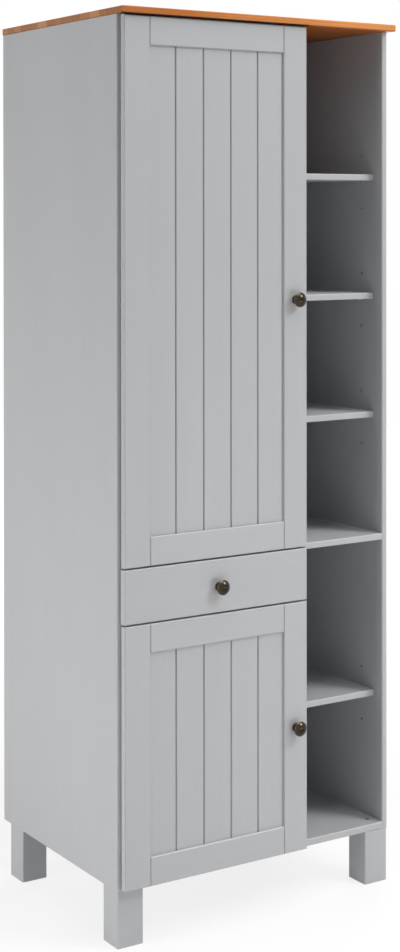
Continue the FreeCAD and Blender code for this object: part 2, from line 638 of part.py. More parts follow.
def drawer_box():
    """The drawer's sides, inner front, back and let-in bottom."""
    inner_left = BOX_LEFT + DRAWER_SIDE_T
    inner_right = BOX_RIGHT - DRAWER_SIDE_T
    inner_front = DOOR_BACK + DRAWER_SIDE_T
    inner_back = BOX_BACK - DRAWER_SIDE_T
    boards = {
        "drawer_left_side": block(BOX_LEFT, inner_left, DOOR_BACK, BOX_BACK, BOX_BOTTOM, BOX_TOP),
        "drawer_right_side": block(inner_right, BOX_RIGHT, DOOR_BACK, BOX_BACK, BOX_BOTTOM, BOX_TOP),
        "drawer_inner_front": block(inner_left, inner_right, DOOR_BACK, inner_front, BOX_BOTTOM, BOX_TOP),
        "drawer_back": block(inner_left, inner_right, inner_back, BOX_BACK, BOX_BOTTOM, BOX_TOP),
    }
    floor_z = BOX_BOTTOM + DRAWER_BOTTOM_RISE
    groove = block(
        inner_left - DRAWER_BOTTOM_GROOVE,
        inner_right + DRAWER_BOTTOM_GROOVE,
        inner_front - DRAWER_BOTTOM_GROOVE,
        inner_back + DRAWER_BOTTOM_GROOVE,
        floor_z - DRAWER_BOTTOM_PLAY,
        floor_z + DRAWER_BOTTOM_T + DRAWER_BOTTOM_PLAY,
    )
    boards = {name: top_rounded(board).cut(groove) for name, board in boards.items()}
    let_in = DRAWER_BOTTOM_GROOVE - DRAWER_BOTTOM_FLOAT
    boards["drawer_bottom"] = block(
        inner_left - let_in,
        inner_right + let_in,
        inner_front - let_in,
        inner_back + let_in,
        floor_z,
        floor_z + DRAWER_BOTTOM_T,
    )
    track_y = FRONT + RUNNER_SETBACK - RUNNER_STOP_PLAY
    track_z = (RUNNER_BOTTOM - RUNNER_RIDE_PLAY, RUNNER_TOP + RUNNER_RIDE_PLAY)
    for name, x0, x1 in (
        ("drawer_left_side", BOX_LEFT - OVERRUN, BOX_LEFT + RUNNER_GROOVE),
        ("drawer_right_side", BOX_RIGHT - RUNNER_GROOVE, BOX_RIGHT + OVERRUN),
    ):
        boards[name] = boards[name].cut(block(x0, x1, track_y, BOX_BACK + OVERRUN, *track_z))
    return boards


def drawer_runners():
    """The wooden strips that the drawer's grooved sides slide on."""
    y0 = FRONT + RUNNER_SETBACK
    starts = {"drawer_left_runner": INNER_LEFT, "drawer_right_runner": DIVIDER_LEFT - RUNNER_T}
    return {
        name: block(x, x + RUNNER_T, y0, BOX_BACK, RUNNER_BOTTOM, RUNNER_TOP)
        for name, x in starts.items()
    }


def build():
    """Every piece of the cabinet, by name."""
    nodes = {"top_board": top_board(), "divider_panel": divider()}
    nodes.update(side_panels())
    nodes.update(fixed_boards())
    nodes.update(back_panels())
    nodes.update(loose_shelves())
    nodes.update(feet())
    hole_depth = PIN_IN + PIN_HOLE_SPARE
    length = hole_depth + OVERRUN
    through = BOARD_T + OVERRUN + OVERRUN
    nodes["left_side_panel"] = nodes["left_side_panel"].cut(pin_holes(INNER_LEFT - hole_depth, length))
    nodes["divider_panel"] = nodes["divider_panel"].cut(pin_holes(DIVIDER_LEFT - OVERRUN, through))
    nodes["right_side_panel"] = nodes["right_side_panel"].cut(pin_holes(INNER_RIGHT - OVERRUN, length))
    nodes["bottom_board"] = nodes["bottom_board"].cut(bolt_holes())
    nodes["shelf_pins"] = shelf_pins()
    nodes["foot_bolts"] = foot_bolts()
    nodes.update(door("upper_door", UPPER_DOOR_BOTTOM, UPPER_DOOR_TOP, UPPER_HINGE_LEVELS, UPPER_KNOB_SHARE))
    nodes.update(door("lower_door", LOWER_DOOR_BOTTOM, LOWER_DOOR_TOP, LOWER_HINGE_LEVELS, LOWER_KNOB_SHARE))
    catch_levels = (UPPER_HINGE_LEVELS[-1], LOWER_HINGE_LEVELS[-1])
    nodes["magnetic_catches"] = Part.makeCompound([catch_body(z) for z in catch_levels])
    nodes["drawer_front"] = drawer_front()
    nodes["drawer_knob"] = knob(
        (DOOR_LEFT + DOOR_RIGHT) / 2, DRAWER_FRONT_BOTTOM + DRAWER_KNOB_SHARE * DRAWER_FRONT_H
    )
    nodes.update(drawer_box())
    nodes.update(drawer_runners())
    return nodes


os.makedirs("parts", exist_ok=True)
for node, shape in build().items():
    shape.exportStep(f"parts/{node}.step")
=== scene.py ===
"""Looks of the tall cabinet: finishes, small fittings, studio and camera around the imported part."""
import json
import logging
import math
from dataclasses import dataclass, field
from enum import Enum, IntEnum
from typing import Iterable, Sequence

import bmesh
import bpy
from mathutils import Matrix, Vector


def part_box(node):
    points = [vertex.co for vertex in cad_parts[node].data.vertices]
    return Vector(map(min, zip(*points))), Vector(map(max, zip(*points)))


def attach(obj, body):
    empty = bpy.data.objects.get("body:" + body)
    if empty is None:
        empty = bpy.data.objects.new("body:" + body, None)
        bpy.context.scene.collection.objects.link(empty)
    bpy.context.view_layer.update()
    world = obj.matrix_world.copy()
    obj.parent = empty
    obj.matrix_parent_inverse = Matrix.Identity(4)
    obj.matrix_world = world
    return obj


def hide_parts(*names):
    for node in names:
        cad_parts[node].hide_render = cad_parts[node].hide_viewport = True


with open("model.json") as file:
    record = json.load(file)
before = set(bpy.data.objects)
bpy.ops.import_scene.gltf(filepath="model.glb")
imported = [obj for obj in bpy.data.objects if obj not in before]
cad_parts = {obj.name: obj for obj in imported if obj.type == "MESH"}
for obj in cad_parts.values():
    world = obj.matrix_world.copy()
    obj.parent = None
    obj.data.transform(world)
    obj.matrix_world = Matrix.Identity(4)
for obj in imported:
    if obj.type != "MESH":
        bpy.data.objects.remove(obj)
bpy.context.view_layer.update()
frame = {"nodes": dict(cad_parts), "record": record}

LOG = logging.getLogger("tall_cabinet")
Colour = tuple[float, float, float, float]
Triple = tuple[float, float, float]
Point = tuple[float, float]
Box = tuple[Vector, Vector]
Socket = bpy.types.NodeSocket
Material = bpy.types.Material
Form = bmesh.types.BMesh
WHITE: Colour = (1.0, 1.0, 1.0, 1.0)
BLACK: Colour = (0.0, 0.0, 0.0, 1.0)
TO_FRONT, TO_BACK = (0, -1, 0), (0, 1, 0)
TO_LEFT, TO_RIGHT = (-1, 0, 0), (1, 0, 0)
QUARTER = math.pi / 2


class Axis(IntEnum):
    """A direction of the shared frame."""

    ACROSS = 0
    DEEP = 1
    UP = 2


class Slot(Enum):
    """The record's material slots."""

    PAINT = "grey_paint"
    STAIN = "stained_top"
    BRONZE = "antique_bronze"
    STEEL = "hinge_steel"
    DARK_STEEL = "dark_steel"
    PLASTIC = "catch_plastic"
    BACK = "back_hardboard"
    DRAWER_FLOOR = "drawer_hardboard"
    CLEAR_WOOD = "natural_wood"


class Body(Enum):
    """The bodies that pieces ride on."""

    CARCASS = "carcass"
    UPPER_DOOR = "upper_door"
    LOWER_DOOR = "lower_door"
    DRAWER = "drawer"


def tint(red: int, green: int, blue: int) -> Colour:
    """A linear colour from display values of 0 to 255.

    Args:
        red: display value of red.
        green: display value of green.
        blue: display value of blue.

    Returns:
        The linear colour, opaque.
    """

    def linear(value: int) -> float:
        """One display value as a linear one."""
        share = value / 255
        return share / 12.92 if share <= 0.04045 else ((share + 0.055) / 1.055) ** 2.4

    return linear(red), linear(green), linear(blue), 1.0


class NodeSheet:
    """A node tree, with short calls for the nodes that the finishes and the studio share."""

    MIX_FIRST = 6
    MIX_SECOND = 7
    MIX_RESULT = 2

    def __init__(self, tree: bpy.types.NodeTree) -> None:
        """Takes a tree over and empties it."""
        self.tree = tree
        self.tree.nodes.clear()

    def feed(self, socket: Socket, value: object) -> None:
        """Links a socket to another one, or sets it to a plain value.

        Args:
            socket: the socket to fill.
            value: a socket or a plain value.
        """
        if isinstance(value, Socket):
            self.tree.links.new(value, socket)
        else:
            socket.default_value = value

    def add(self, kind: str, *values: object, **settings: object) -> bpy.types.Node:
        """Adds a node.

        Args:
            kind: type of the node.
            values: sockets or plain values for its first inputs, in order.
            settings: attributes to set on the node.

        Returns:
            The new node.
        """
        node = self.tree.nodes.new(kind)
        for key, setting in settings.items():
            setattr(node, key, setting)
        for socket, value in zip(node.inputs, values):
            self.feed(socket, value)
        return node

    def worked(self, operation: str, *values: object) -> Socket:
        """One step of arithmetic on sockets or plain numbers."""
        return self.add("ShaderNodeMath", *values, operation=operation).outputs["Value"]

    def times(self, first: object, second: object) -> Socket:
        """The product of two sockets or plain numbers."""
        return self.worked("MULTIPLY", first, second)

    def weighed(self, first: Socket, share: float, second: Socket) -> Socket:
        """A share of one value with the rest of another."""
        return self.worked("ADD", self.times(first, share), self.times(second, 1 - share))

    def length(self, *parts: Socket) -> Socket:
        """The length of a line whose two parts are given."""
        return self.worked("SQRT", self.worked("ADD", *(self.worked("POWER", part, 2) for part in parts)))

    def parts(self, vector: Socket) -> list[Socket]:
        """The three parts of a vector."""
        return list(self.add("ShaderNodeSeparateXYZ", vector).outputs)

    def vector(self, *values: object) -> Socket:
        """A vector of three sockets or plain numbers."""
        return self.add("ShaderNodeCombineXYZ", *values).outputs["Vector"]

    def noise(self, place: Socket, scale: float, detail: int) -> Socket:
        """A cloudy pattern between 0 and 1, with so many clouds to a unit and so many finer layers."""
        return self.add("ShaderNodeTexNoise", place, 0.0, scale, detail).outputs["Fac"]

    def spread(self, value: Socket, low: float, high: float, new_low: float, new_high: float) -> Socket:
        """A value carried from one range to another and kept inside it."""
        return self.add("ShaderNodeMapRange", value, low, high, new_low, new_high).outputs["Result"]

    def blend(self, amount: Socket, first: object, second: object) -> Socket:
        """A colour between two colours.

        Args:
            amount: 0 for the first colour, 1 for the second.
            first: socket or plain colour.
            second: socket or plain colour.

        Returns:
            The socket of the colour.
        """
        node = self.add("ShaderNodeMix", amount, data_type="RGBA")
        self.feed(node.inputs[self.MIX_FIRST], first)
        self.feed(node.inputs[self.MIX_SECOND], second)
        return node.outputs[self.MIX_RESULT]

    def seen(self) -> Socket:
        """Tells rays from the camera, a mirror or a glass from the rays that light things.

        Returns:
            The socket of 1 for the first kind and 0 for the second.
        """
        paths = self.add("ShaderNodeLightPath").outputs
        seen = self.worked("MAXIMUM", paths["Is Camera Ray"], paths["Is Glossy Ray"])
        return self.worked("MAXIMUM", seen, paths["Is Transmission Ray"])


class Sheet(NodeSheet):
    """The node sheet of one material: a surface shader and the piece's own coordinates."""

    def __init__(self, name: str) -> None:
        """Starts the material.

        Args:
            name: name of the material.
        """
        self.material = bpy.data.materials.new(name)
        self.material.use_nodes = True
        super().__init__(self.material.node_tree)
        self.surface = self.add("ShaderNodeBsdfPrincipled")
        self.add("ShaderNodeOutputMaterial", self.surface.outputs["BSDF"])
        coordinates = self.add("ShaderNodeTexCoord").outputs
        self.place, self.facing = coordinates["Object"], coordinates["Normal"]

    def stretched(self, scale: Sequence[float], shift: Sequence[float] = (0, 0, 0)) -> Socket:
        """The piece's coordinates, scaled along each axis and then shifted."""
        return self.add("ShaderNodeMapping", self.place, shift, (0, 0, 0), scale).outputs["Vector"]

    def show(self, looks: dict[str, object]) -> None:
        """Feeds named sockets of the surface with sockets or plain values."""
        for name, value in looks.items():
            self.feed(self.surface.inputs[name], value)

    def relief(self, height: Socket, depth: float, strength: float) -> None:
        """Raises the surface by a pattern.

        Args:
            height: socket of the pattern.
            depth: height of its crests in metres.
            strength: how much of it shows.
        """
        node = self.add("ShaderNodeBump", strength, depth)
        self.feed(node.inputs["Height"], height)
        self.show({"Normal": node.outputs["Normal"]})

    def edge_distance(self, box: Box) -> Socket:
        """How far a point of a board's surface lies from the board's nearest edge.

        Args:
            box: lowest and highest corner of the board.

        Returns:
            The socket of the distance in metres.
        """
        gaps = []
        for value, low, high in zip(self.parts(self.place), *box):
            above = self.worked("SUBTRACT", value, low)
            below = self.worked("SUBTRACT", high, value)
            gaps.append(self.worked("MINIMUM", above, below))
        lesser = self.worked("MINIMUM", gaps[0], gaps[1])
        greater = self.worked("MAXIMUM", gaps[0], gaps[1])
        return self.worked("MAXIMUM", lesser, self.worked("MINIMUM", greater, gaps[2]))


@dataclass(frozen=True)
class PaintFinish:
    """Satin paint over softwood, through which the grain just shows, with a painted highlight on arrises
    that face up, painted shade on the other arrises and in grooves, and painted light on faces that look
    forward.

    Here and in the other finishes, a band is the range of values over which a look comes in.
    """

    low: Colour = tint(182, 183, 185)
    high: Colour = tint(185, 186, 188)
    # The edge tone is the light of a painted highlight on upward arrises and of painted light on front
    # faces, and also of worn paint.
    edge: Colour = tint(226, 227, 229)
    # The tone of the painted shade on arrises and in grooves.
    painted_shade_tone: Colour = tint(138, 139, 141)
    edge_reach: float = 0.0026
    edge_share: float = 0.85
    side_edge_shade_share: float = 0.0
    groove_shade_share: float = 0.0
    groove_depth: float = 0.0028
    groove_margin: float = 1.1
    front_light_share: float = 0.0
    upward_band: Point = (0.1, 0.7)
    forward_band: Point = (-0.6, -0.95)
    fibre_pitch: float = 0.0035
    fibre_length: float = 0.30
    fibre_share: float = 0.55
    cloud_pitch: float = 0.16
    cloud_length: float = 0.64
    mottle_band: Point = (0.32, 0.68)
    arris_patch_band: Point = (0.3, 0.6)
    arris_patch_least: float = 0.8
    peel_pitch: float = 0.0011
    relief_fibre_share: float = 0.6
    relief_depth: float = 0.00025
    relief_strength: float = 0.045
    gloss_band: Point = (0.35, 0.65)
    rough_low: float = 0.40
    rough_high: float = 0.54
    specular: float = 0.42

    def material(self, name: str, box: Box, along: Axis, seed: float) -> Material:
        """The paint on one board.

        Args:
            name: name of the material.
            box: lowest and highest corner of the board.
            along: the way the wood's fibres run.
            seed: shifts the pattern, so that no two boards match.

        Returns:
            The material.
        """
        sheet = Sheet(name)
        fine, broad = [1 / self.fibre_pitch] * 3, [1 / self.cloud_pitch] * 3
        fine[along], broad[along] = 1 / self.fibre_length, 1 / self.cloud_length
        fibre = sheet.noise(sheet.stretched(fine, (seed, seed, seed)), 1.0, 4)
        cloud = sheet.noise(sheet.stretched(broad, (seed, 0, -seed)), 1.0, 2)
        peel = sheet.noise(sheet.place, 1 / self.peel_pitch, 2)
        mottle = sheet.weighed(fibre, self.fibre_share, cloud)
        ground = sheet.blend(sheet.spread(mottle, *self.mottle_band, 0, 1), self.low, self.high)
        arris = sheet.spread(sheet.edge_distance(box), 0, self.edge_reach, 1, 0)
        arris = sheet.times(arris, sheet.spread(fibre, *self.arris_patch_band, self.arris_patch_least, 1))
        _, forward, upward = sheet.parts(sheet.facing)
        # Painted highlight, partly wear: arrises that face up turn towards the edge tone, as if they caught
        # the light from above.
        worn_and_highlit = sheet.times(arris, sheet.spread(upward, *self.upward_band, 0, self.edge_share))
        # Painted shade: arrises that don't face up turn darker, towards a darker grey.
        painted_arris_shade = sheet.times(arris, sheet.spread(upward, *self.upward_band, self.side_edge_shade_share, 0))
        # Painted shade in the grooves: points sunk behind the board's front face turn darker.
        below = sheet.worked("SUBTRACT", sheet.parts(sheet.place)[Axis.DEEP], box[0].y)
        painted_groove_shade = sheet.spread(below, 0, self.groove_depth, 0, self.groove_shade_share)
        painted_groove_shade = sheet.times(painted_groove_shade, sheet.worked("LESS_THAN", below, self.groove_depth * self.groove_margin))
        ground = sheet.blend(sheet.worked("MAXIMUM", painted_arris_shade, painted_groove_shade), ground, self.painted_shade_tone)
        # Painted light: faces that look forward are lightened towards the edge tone.
        painted_front_light = sheet.spread(forward, *self.forward_band, 0, self.front_light_share)
        ground = sheet.blend(painted_front_light, ground, self.edge)
        sheet.show({
            "Base Color": sheet.blend(worn_and_highlit, ground, self.edge),
            "Roughness": sheet.spread(mottle, *self.gloss_band, self.rough_high, self.rough_low),
            "Specular IOR Level": self.specular,
        })
        skin = sheet.weighed(fibre, self.relief_fibre_share, peel)
        sheet.relief(skin, self.relief_depth, self.relief_strength)
        return sheet.material


@dataclass(frozen=True)
class PineFinish:
    """Softwood boards or glued staves, clear or stained, under a satin lacquer, with a painted shade on
    faces that look down and a painted shadow under the front lip where these are set.

    Rates are counts to the metre along and across the fibres. The heart and bend pairs are a factor and
    an offset.
    """

    early: Colour
    late: Colour
    warm: Colour
    end_low: Colour
    end_high: Colour
    knot: Colour
    joint: Colour
    stave: float
    first_share: float = 0.4
    uneven_share: float = 0.14
    uneven_turn: float = 2.4
    heart_aside: Point = (2.4, -0.7)
    heart_below: Point = (0.10, -0.05)
    pattern_shift: float = 40.0
    bend_rates: Point = (2.2, 9.0)
    bend_reach: Point = (0.026, -0.013)
    ring: float = 0.0048
    late_power: float = 2.6
    ring_share: float = 0.62
    fibre_rates: Point = (7.0, 900.0)
    grain_band: Point = (0.12, 0.85)
    warm_share: float = 0.8
    drift_rate: float = -2.2
    drift_band: Point = (0.35, 0.65)
    drift_share: float = 0.8
    knot_rates: Point = (3.1, 9.5)
    knot_chance: float = 0.72
    knot_size: float = 0.085
    knot_core: float = 0.55
    knot_share: float = 0.6
    end_band: Point = (0.55, 0.85)
    end_ring_share: float = 0.4
    glue_width: float = 0.03
    glue_share: float = 0.7
    # The under colour is a painted shade for faces that look down.
    under: Colour = tint(115, 52, 0)
    under_band: Point = (-0.2, -0.7)
    underside_shade_share: float = 0.0
    # The lip shade is a painted shadow on the underside of the front lip, over the doors.
    lip_shade: Colour = tint(14, 8, 3)
    lip_reach: float = 0.0
    lip_end: float = 0.0
    relief_depth: float = 0.0003
    relief_strength: float = 0.18
    gloss_band: Point = (0.2, 0.8)
    rough_low: float = 0.32
    rough_high: float = 0.50
    specular: float = 0.35
    coat: float = 0.10
    coat_rough: float = 0.30

    def material(self, name: str, box: Box, along: Axis, across: Axis, seed: float) -> Material:
        """The wood of one board or of a board of glued staves.

        Args:
            name: name of the material.
            box: lowest and highest corner of the board.
            along: the way the fibres run.
            across: the way the staves lie side by side.
            seed: shifts the pattern, so that no two boards match.

        Returns:
            The material.
        """
        sheet = Sheet(name)
        thick = next(axis for axis in Axis if axis not in (along, across))
        place, facing = sheet.parts(sheet.place), sheet.parts(sheet.facing)
        run, side, depth = place[along], place[across], place[thick]

        # Which stave a point is in, and three chance values for that stave.
        count = sheet.worked("DIVIDE", sheet.worked("SUBTRACT", side, box[0][across]), self.stave)
        count = sheet.worked("ADD", count, self.first_share)
        sway = sheet.worked("SINE", sheet.times(count, self.uneven_turn))
        count = sheet.worked("MULTIPLY_ADD", sway, self.uneven_share, count)
        number, fraction = sheet.worked("FLOOR", count), sheet.worked("FRACT", count)
        chance = sheet.add("ShaderNodeTexWhiteNoise", noise_dimensions="1D")
        sheet.feed(chance.inputs["W"], sheet.worked("ADD", number, seed))
        draw = sheet.parts(chance.outputs["Color"])

        # Rings about the heart of each stave, bent a little, and fine fibres.
        aside = sheet.worked("SUBTRACT", fraction, sheet.worked("MULTIPLY_ADD", draw[0], *self.heart_aside))
        aside = sheet.times(aside, self.stave)
        under = sheet.worked("SUBTRACT", depth, box[0][thick])
        under = sheet.worked("SUBTRACT", under, sheet.worked("MULTIPLY_ADD", draw[1], *self.heart_below))
        shift = sheet.times(draw[2], self.pattern_shift)
        patterns = []
        for (run_rate, cross_rate), detail in ((self.bend_rates, 2), (self.fibre_rates, 3)):
            drawn_out = sheet.worked("MULTIPLY_ADD", run, run_rate, shift)
            spot = sheet.vector(drawn_out, sheet.times(side, cross_rate), sheet.times(depth, cross_rate))
            patterns.append(sheet.noise(spot, 1.0, detail))
        bend, fibre = sheet.worked("MULTIPLY_ADD", patterns[0], *self.bend_reach), patterns[1]
        radius = sheet.worked("ADD", sheet.length(aside, under), bend)
        turn = sheet.worked("FRACT", sheet.worked("DIVIDE", radius, self.ring))
        grown = sheet.worked("POWER", turn, self.late_power)
        grain = sheet.weighed(grown, self.ring_share, fibre)

        # A few knots.
        spot = sheet.vector(sheet.times(run, self.knot_rates[0]), sheet.times(side, self.knot_rates[1]), 0)
        speck = sheet.add("ShaderNodeTexVoronoi", spot, 0.0, 1.0, voronoi_dimensions="2D").outputs
        picked = sheet.worked("GREATER_THAN", sheet.parts(speck["Color"])[0], self.knot_chance)
        knot = sheet.spread(speck["Distance"], self.knot_size, self.knot_size * self.knot_core, 0, 1)
        knot = sheet.times(knot, picked)

        # Colours of the long faces, the end grain, the painted shade of the underside, the painted shadow
        # under the front lip and the glued joints.
        warmth = sheet.worked("POWER", draw[2], 2)
        face = sheet.blend(sheet.spread(grain, *self.grain_band, 0, 1), self.early, self.late)
        face = sheet.blend(sheet.times(warmth, self.warm_share), face, self.warm)
        spot = sheet.vector(sheet.worked("MULTIPLY_ADD", run, self.drift_rate, seed), number, 0.0)
        drift = sheet.spread(sheet.noise(spot, 1.0, 1), *self.drift_band, 0, self.drift_share)
        face = sheet.blend(drift, face, self.warm)
        face = sheet.blend(sheet.times(knot, self.knot_share), face, self.knot)
        end = sheet.blend(warmth, self.end_low, self.end_high)
        end = sheet.blend(sheet.times(grown, self.end_ring_share), end, self.knot)
        cut = sheet.worked("ABSOLUTE", facing[along])
        wood = sheet.blend(sheet.spread(cut, *self.end_band, 0, 1), face, end)
        # Painted shade: faces that look down turn towards the under colour.
        downward = sheet.spread(facing[thick], *self.under_band, 0, 1)
        wood = sheet.blend(sheet.times(downward, self.underside_shade_share), wood, self.under)
        # Painted shadow on the underside of the front lip, as far along as the doors reach.
        lip = sheet.worked("LESS_THAN", side, box[0][across] + self.lip_reach)
        lip = sheet.times(lip, sheet.worked("LESS_THAN", run, self.lip_end))
        wood = sheet.blend(sheet.times(downward, lip), wood, self.lip_shade)
        brink = sheet.worked("MINIMUM", fraction, sheet.worked("SUBTRACT", 1.0, fraction))
        glue = sheet.spread(brink, 0.0, self.glue_width, self.glue_share, 0)
        sheet.show({
            "Base Color": sheet.blend(glue, wood, self.joint),
            "Roughness": sheet.spread(grain, *self.gloss_band, self.rough_high, self.rough_low),
            "Specular IOR Level": self.specular,
            "Coat Weight": self.coat,
            "Coat Roughness": self.coat_rough,
        })
        raised = sheet.worked("SUBTRACT", grain, glue)
        sheet.relief(raised, self.relief_depth, self.relief_strength)
        return sheet.material


@dataclass(frozen=True)
class HardboardFinish:
    """Pressed fibreboard: a smooth face and a rough back with the mark of a screen."""

    face_low: Colour
    face_high: Colour
    back_low: Colour = tint(126, 95, 66)
    back_high: Colour = tint(158, 124, 90)
    flake_rate: float = 420.0
    cloud_rate: float = 9.0
    flake_share: float = 0.65
    flake_band: Point = (0.3, 0.7)
    back_from: float = 0.5
    screen_pitch: float = 0.0022
    flake_relief: float = 0.4
    relief_depth: float = 0.0002
    relief_strength: float = 0.35
    face_rough: float = 0.48
    back_rough: float = 0.85

    def material(self, name: str, back_axis: Axis, back_sign: float, seed: float) -> Material:
        """The fibreboard of one panel.

        Args:
            name: name of the material.
            back_axis: the axis that the panel's rough back faces along.
            back_sign: 1 or -1, the way that it faces along that axis.
            seed: shifts the pattern.

        Returns:
            The material.
        """
        sheet = Sheet(name)
        flakes = sheet.noise(sheet.stretched([self.flake_rate] * 3, [seed] * 3), 1.0, 5)
        clouds = sheet.noise(sheet.stretched([self.cloud_rate] * 3, [seed] * 3), 1.0, 3)
        mixed = sheet.weighed(flakes, self.flake_share, clouds)
        mixed = sheet.spread(mixed, *self.flake_band, 0, 1)
        smooth = sheet.blend(mixed, self.face_low, self.face_high)
        rough = sheet.blend(mixed, self.back_low, self.back_high)
        outward = sheet.times(sheet.parts(sheet.facing)[back_axis], back_sign)
        behind = sheet.worked("GREATER_THAN", outward, self.back_from)
        sheet.show({
            "Base Color": sheet.blend(behind, smooth, rough),
            "Roughness": sheet.spread(behind, 0, 1, self.face_rough, self.back_rough),
        })
        wires = [
            sheet.worked("SINE", sheet.times(value, math.tau / self.screen_pitch))
            for axis, value in zip(Axis, sheet.parts(sheet.place))
            if axis is not back_axis
        ]
        screen = sheet.times(sheet.times(*wires), behind)
        raised = sheet.worked("ADD", screen, sheet.times(flakes, self.flake_relief))
        sheet.relief(raised, self.relief_depth, self.relief_strength)
        return sheet.material


@dataclass(frozen=True)
class BronzeFinish:
    """Dark antique bronze, rubbed brighter where fingers touch it, and darker towards its middle by a
    painted reflection.
    """

    dark: Colour = tint(33, 28, 22)
    brown: Colour = tint(71, 62, 49)
    rubbed: Colour = tint(122, 107, 86)
    rubbed_share: float = 0.6
    cloud_rate: float = 260.0
    scuff_rate: float = 1400.0
    reflection_from: float = 0.003
    reflection_to: float = 0.012
    reflection_least: float = 0.1
    patina_band: Point = (0.3, 0.6)
    patina_least: float = 0.45
    scuff_band: Point = (0.35, 0.65)
    scuff_least: float = 0.25
    rim: float = 0.015
    rim_width: float = 0.0022
    rim_height: float = 0.0172
    rim_reach: float = 0.0016
    scuff_relief: float = 0.5
    relief_depth: float = 0.00012
    relief_strength: float = 0.25
    gloss_band: Point = (0.3, 0.7)
    rough_low: float = 0.16
    rough_high: float = 0.28
    coat: float = 0.15
    coat_rough: float = 0.16

    def material(self, name: str) -> Material:
        """The metal of a knob whose own Z axis is its turning axis.

        Args:
            name: name of the material.

        Returns:
            The material.
        """
        sheet = Sheet(name)
        across, aside, height = sheet.parts(sheet.place)
        radius = sheet.length(across, aside)
        cloud = sheet.noise(sheet.place, self.cloud_rate, 4)
        scuff = sheet.noise(sheet.place, self.scuff_rate, 3)
        # Painted reflection: the knob darkens towards its middle, as if it mirrored a dark room.
        painted_reflection = sheet.spread(radius, self.reflection_from, self.reflection_to, self.reflection_least, 1)
        patina = sheet.spread(cloud, *self.patina_band, self.patina_least, 1)
        ground = sheet.blend(sheet.times(patina, painted_reflection), self.dark, self.brown)
        near_rim = sheet.spread(radius, self.rim - self.rim_width, self.rim, 0, 1)
        level = sheet.worked("ABSOLUTE", sheet.worked("SUBTRACT", height, self.rim_height))
        near_rim = sheet.times(near_rim, sheet.spread(level, 0, self.rim_reach, 1, 0))
        near_rim = sheet.times(near_rim, sheet.spread(scuff, *self.scuff_band, self.scuff_least, 1))
        sheet.show({
            "Base Color": sheet.blend(sheet.times(near_rim, self.rubbed_share), ground, self.rubbed),
            "Roughness": sheet.spread(cloud, *self.gloss_band, self.rough_high, self.rough_low),
            "Metallic": 1.0,
            "Coat Weight": self.coat,
            "Coat Roughness": self.coat_rough,
        })
        raised = sheet.worked("ADD", cloud, sheet.times(scuff, self.scuff_relief))
        sheet.relief(raised, self.relief_depth, self.relief_strength)
        return sheet.material


@dataclass(frozen=True)
class SteelFinish:
    """Plated steel with fine drawing marks."""

    low: Colour
    high: Colour
    rough_low: float = 0.20
    rough_high: float = 0.38
    metal_share: float = 1.0
    drawn_rates: Triple = (2600, 2600, 180)
    drawn_share: float = 0.6
    cloud_rate: float = 190.0
    mottle_band: Point = (0.32, 0.68)
    relief_depth: float = 0.00005
    relief_strength: float = 0.2

    def material(self, name: str) -> Material:
        """The plated steel of a fitting.

        Args:
            name: name of the material.

        Returns:
            The material.
        """
        sheet = Sheet(name)
        drawn = sheet.noise(sheet.stretched(self.drawn_rates), 1.0, 3)
        cloud = sheet.noise(sheet.place, self.cloud_rate, 3)
        mixed = sheet.weighed(drawn, self.drawn_share, cloud)
        mixed = sheet.spread(mixed, *self.mottle_band, 0, 1)
        sheet.show({
            "Base Color": sheet.blend(mixed, self.low, self.high),
            "Roughness": sheet.spread(mixed, 0, 1, self.rough_high, self.rough_low),
            "Metallic": self.metal_share,
        })
        sheet.relief(drawn, self.relief_depth, self.relief_strength)
        return sheet.material


@dataclass(frozen=True)
class PlasticFinish:
    """Moulded plastic with a fine spark-eroded grain."""

    low: Colour = tint(214, 212, 205)
    high: Colour = tint(226, 224, 218)
    grain_rate: float = 2400.0
    cloud_rate: float = 90.0
    cloud_band: Point = (0.35, 0.65)
    relief_depth: float = 0.00006
    relief_strength: float = 0.3
    gloss_band: Point = (0.3, 0.7)
    rough_low: float = 0.46
    rough_high: float = 0.58

    def material(self, name: str) -> Material:
        """The plastic of a catch.

        Args:
            name: name of the material.

        Returns:
            The material.
        """
        sheet = Sheet(name)
        grain = sheet.noise(sheet.place, self.grain_rate, 2)
        cloud = sheet.spread(sheet.noise(sheet.place, self.cloud_rate, 2), *self.cloud_band, 0, 1)
        sheet.show({
            "Base Color": sheet.blend(cloud, self.low, self.high),
            "Roughness": sheet.spread(grain, *self.gloss_band, self.rough_low, self.rough_high),
        })
        sheet.relief(grain, self.relief_depth, self.relief_strength)
        return sheet.material


PAINT = PaintFinish()
# FRONT_PAINT carries painted shade on its side arrises, PANEL_PAINT painted shade in its grooves and
# SIDE_PAINT painted light on its front faces.
FRONT_PAINT = PaintFinish(side_edge_shade_share=0.5)
PANEL_PAINT = PaintFinish(groove_shade_share=0.5)
SIDE_PAINT = PaintFinish(front_light_share=0.4)
STAINED_STAVES = PineFinish(
    early=tint(232, 154, 89),
    late=tint(200, 119, 54),
    warm=tint(178, 101, 40),
    end_low=tint(168, 113, 72),
    end_high=tint(206, 150, 102),
    knot=tint(70, 34, 9),
    joint=tint(128, 70, 30),
    stave=0.036,
    underside_shade_share=0.7,
    lip_reach=0.0095,
    lip_end=0.1065,
    specular=0.18,
    coat=0.0,
)
CLEAR_PINE = PineFinish(
    early=tint(232, 205, 160),
    late=tint(206, 166, 112),
    warm=tint(226, 192, 142),
    end_low=tint(196, 158, 110),
    end_high=tint(212, 176, 128),
    knot=tint(132, 84, 46),
    joint=tint(206, 168, 118),
    stave=0.30,
)
LACQUERED_BACK = HardboardFinish(face_low=tint(176, 177, 179), face_high=tint(186, 187, 189))
PLAIN_HARDBOARD = HardboardFinish(face_low=tint(150, 116, 82), face_high=tint(176, 142, 104))
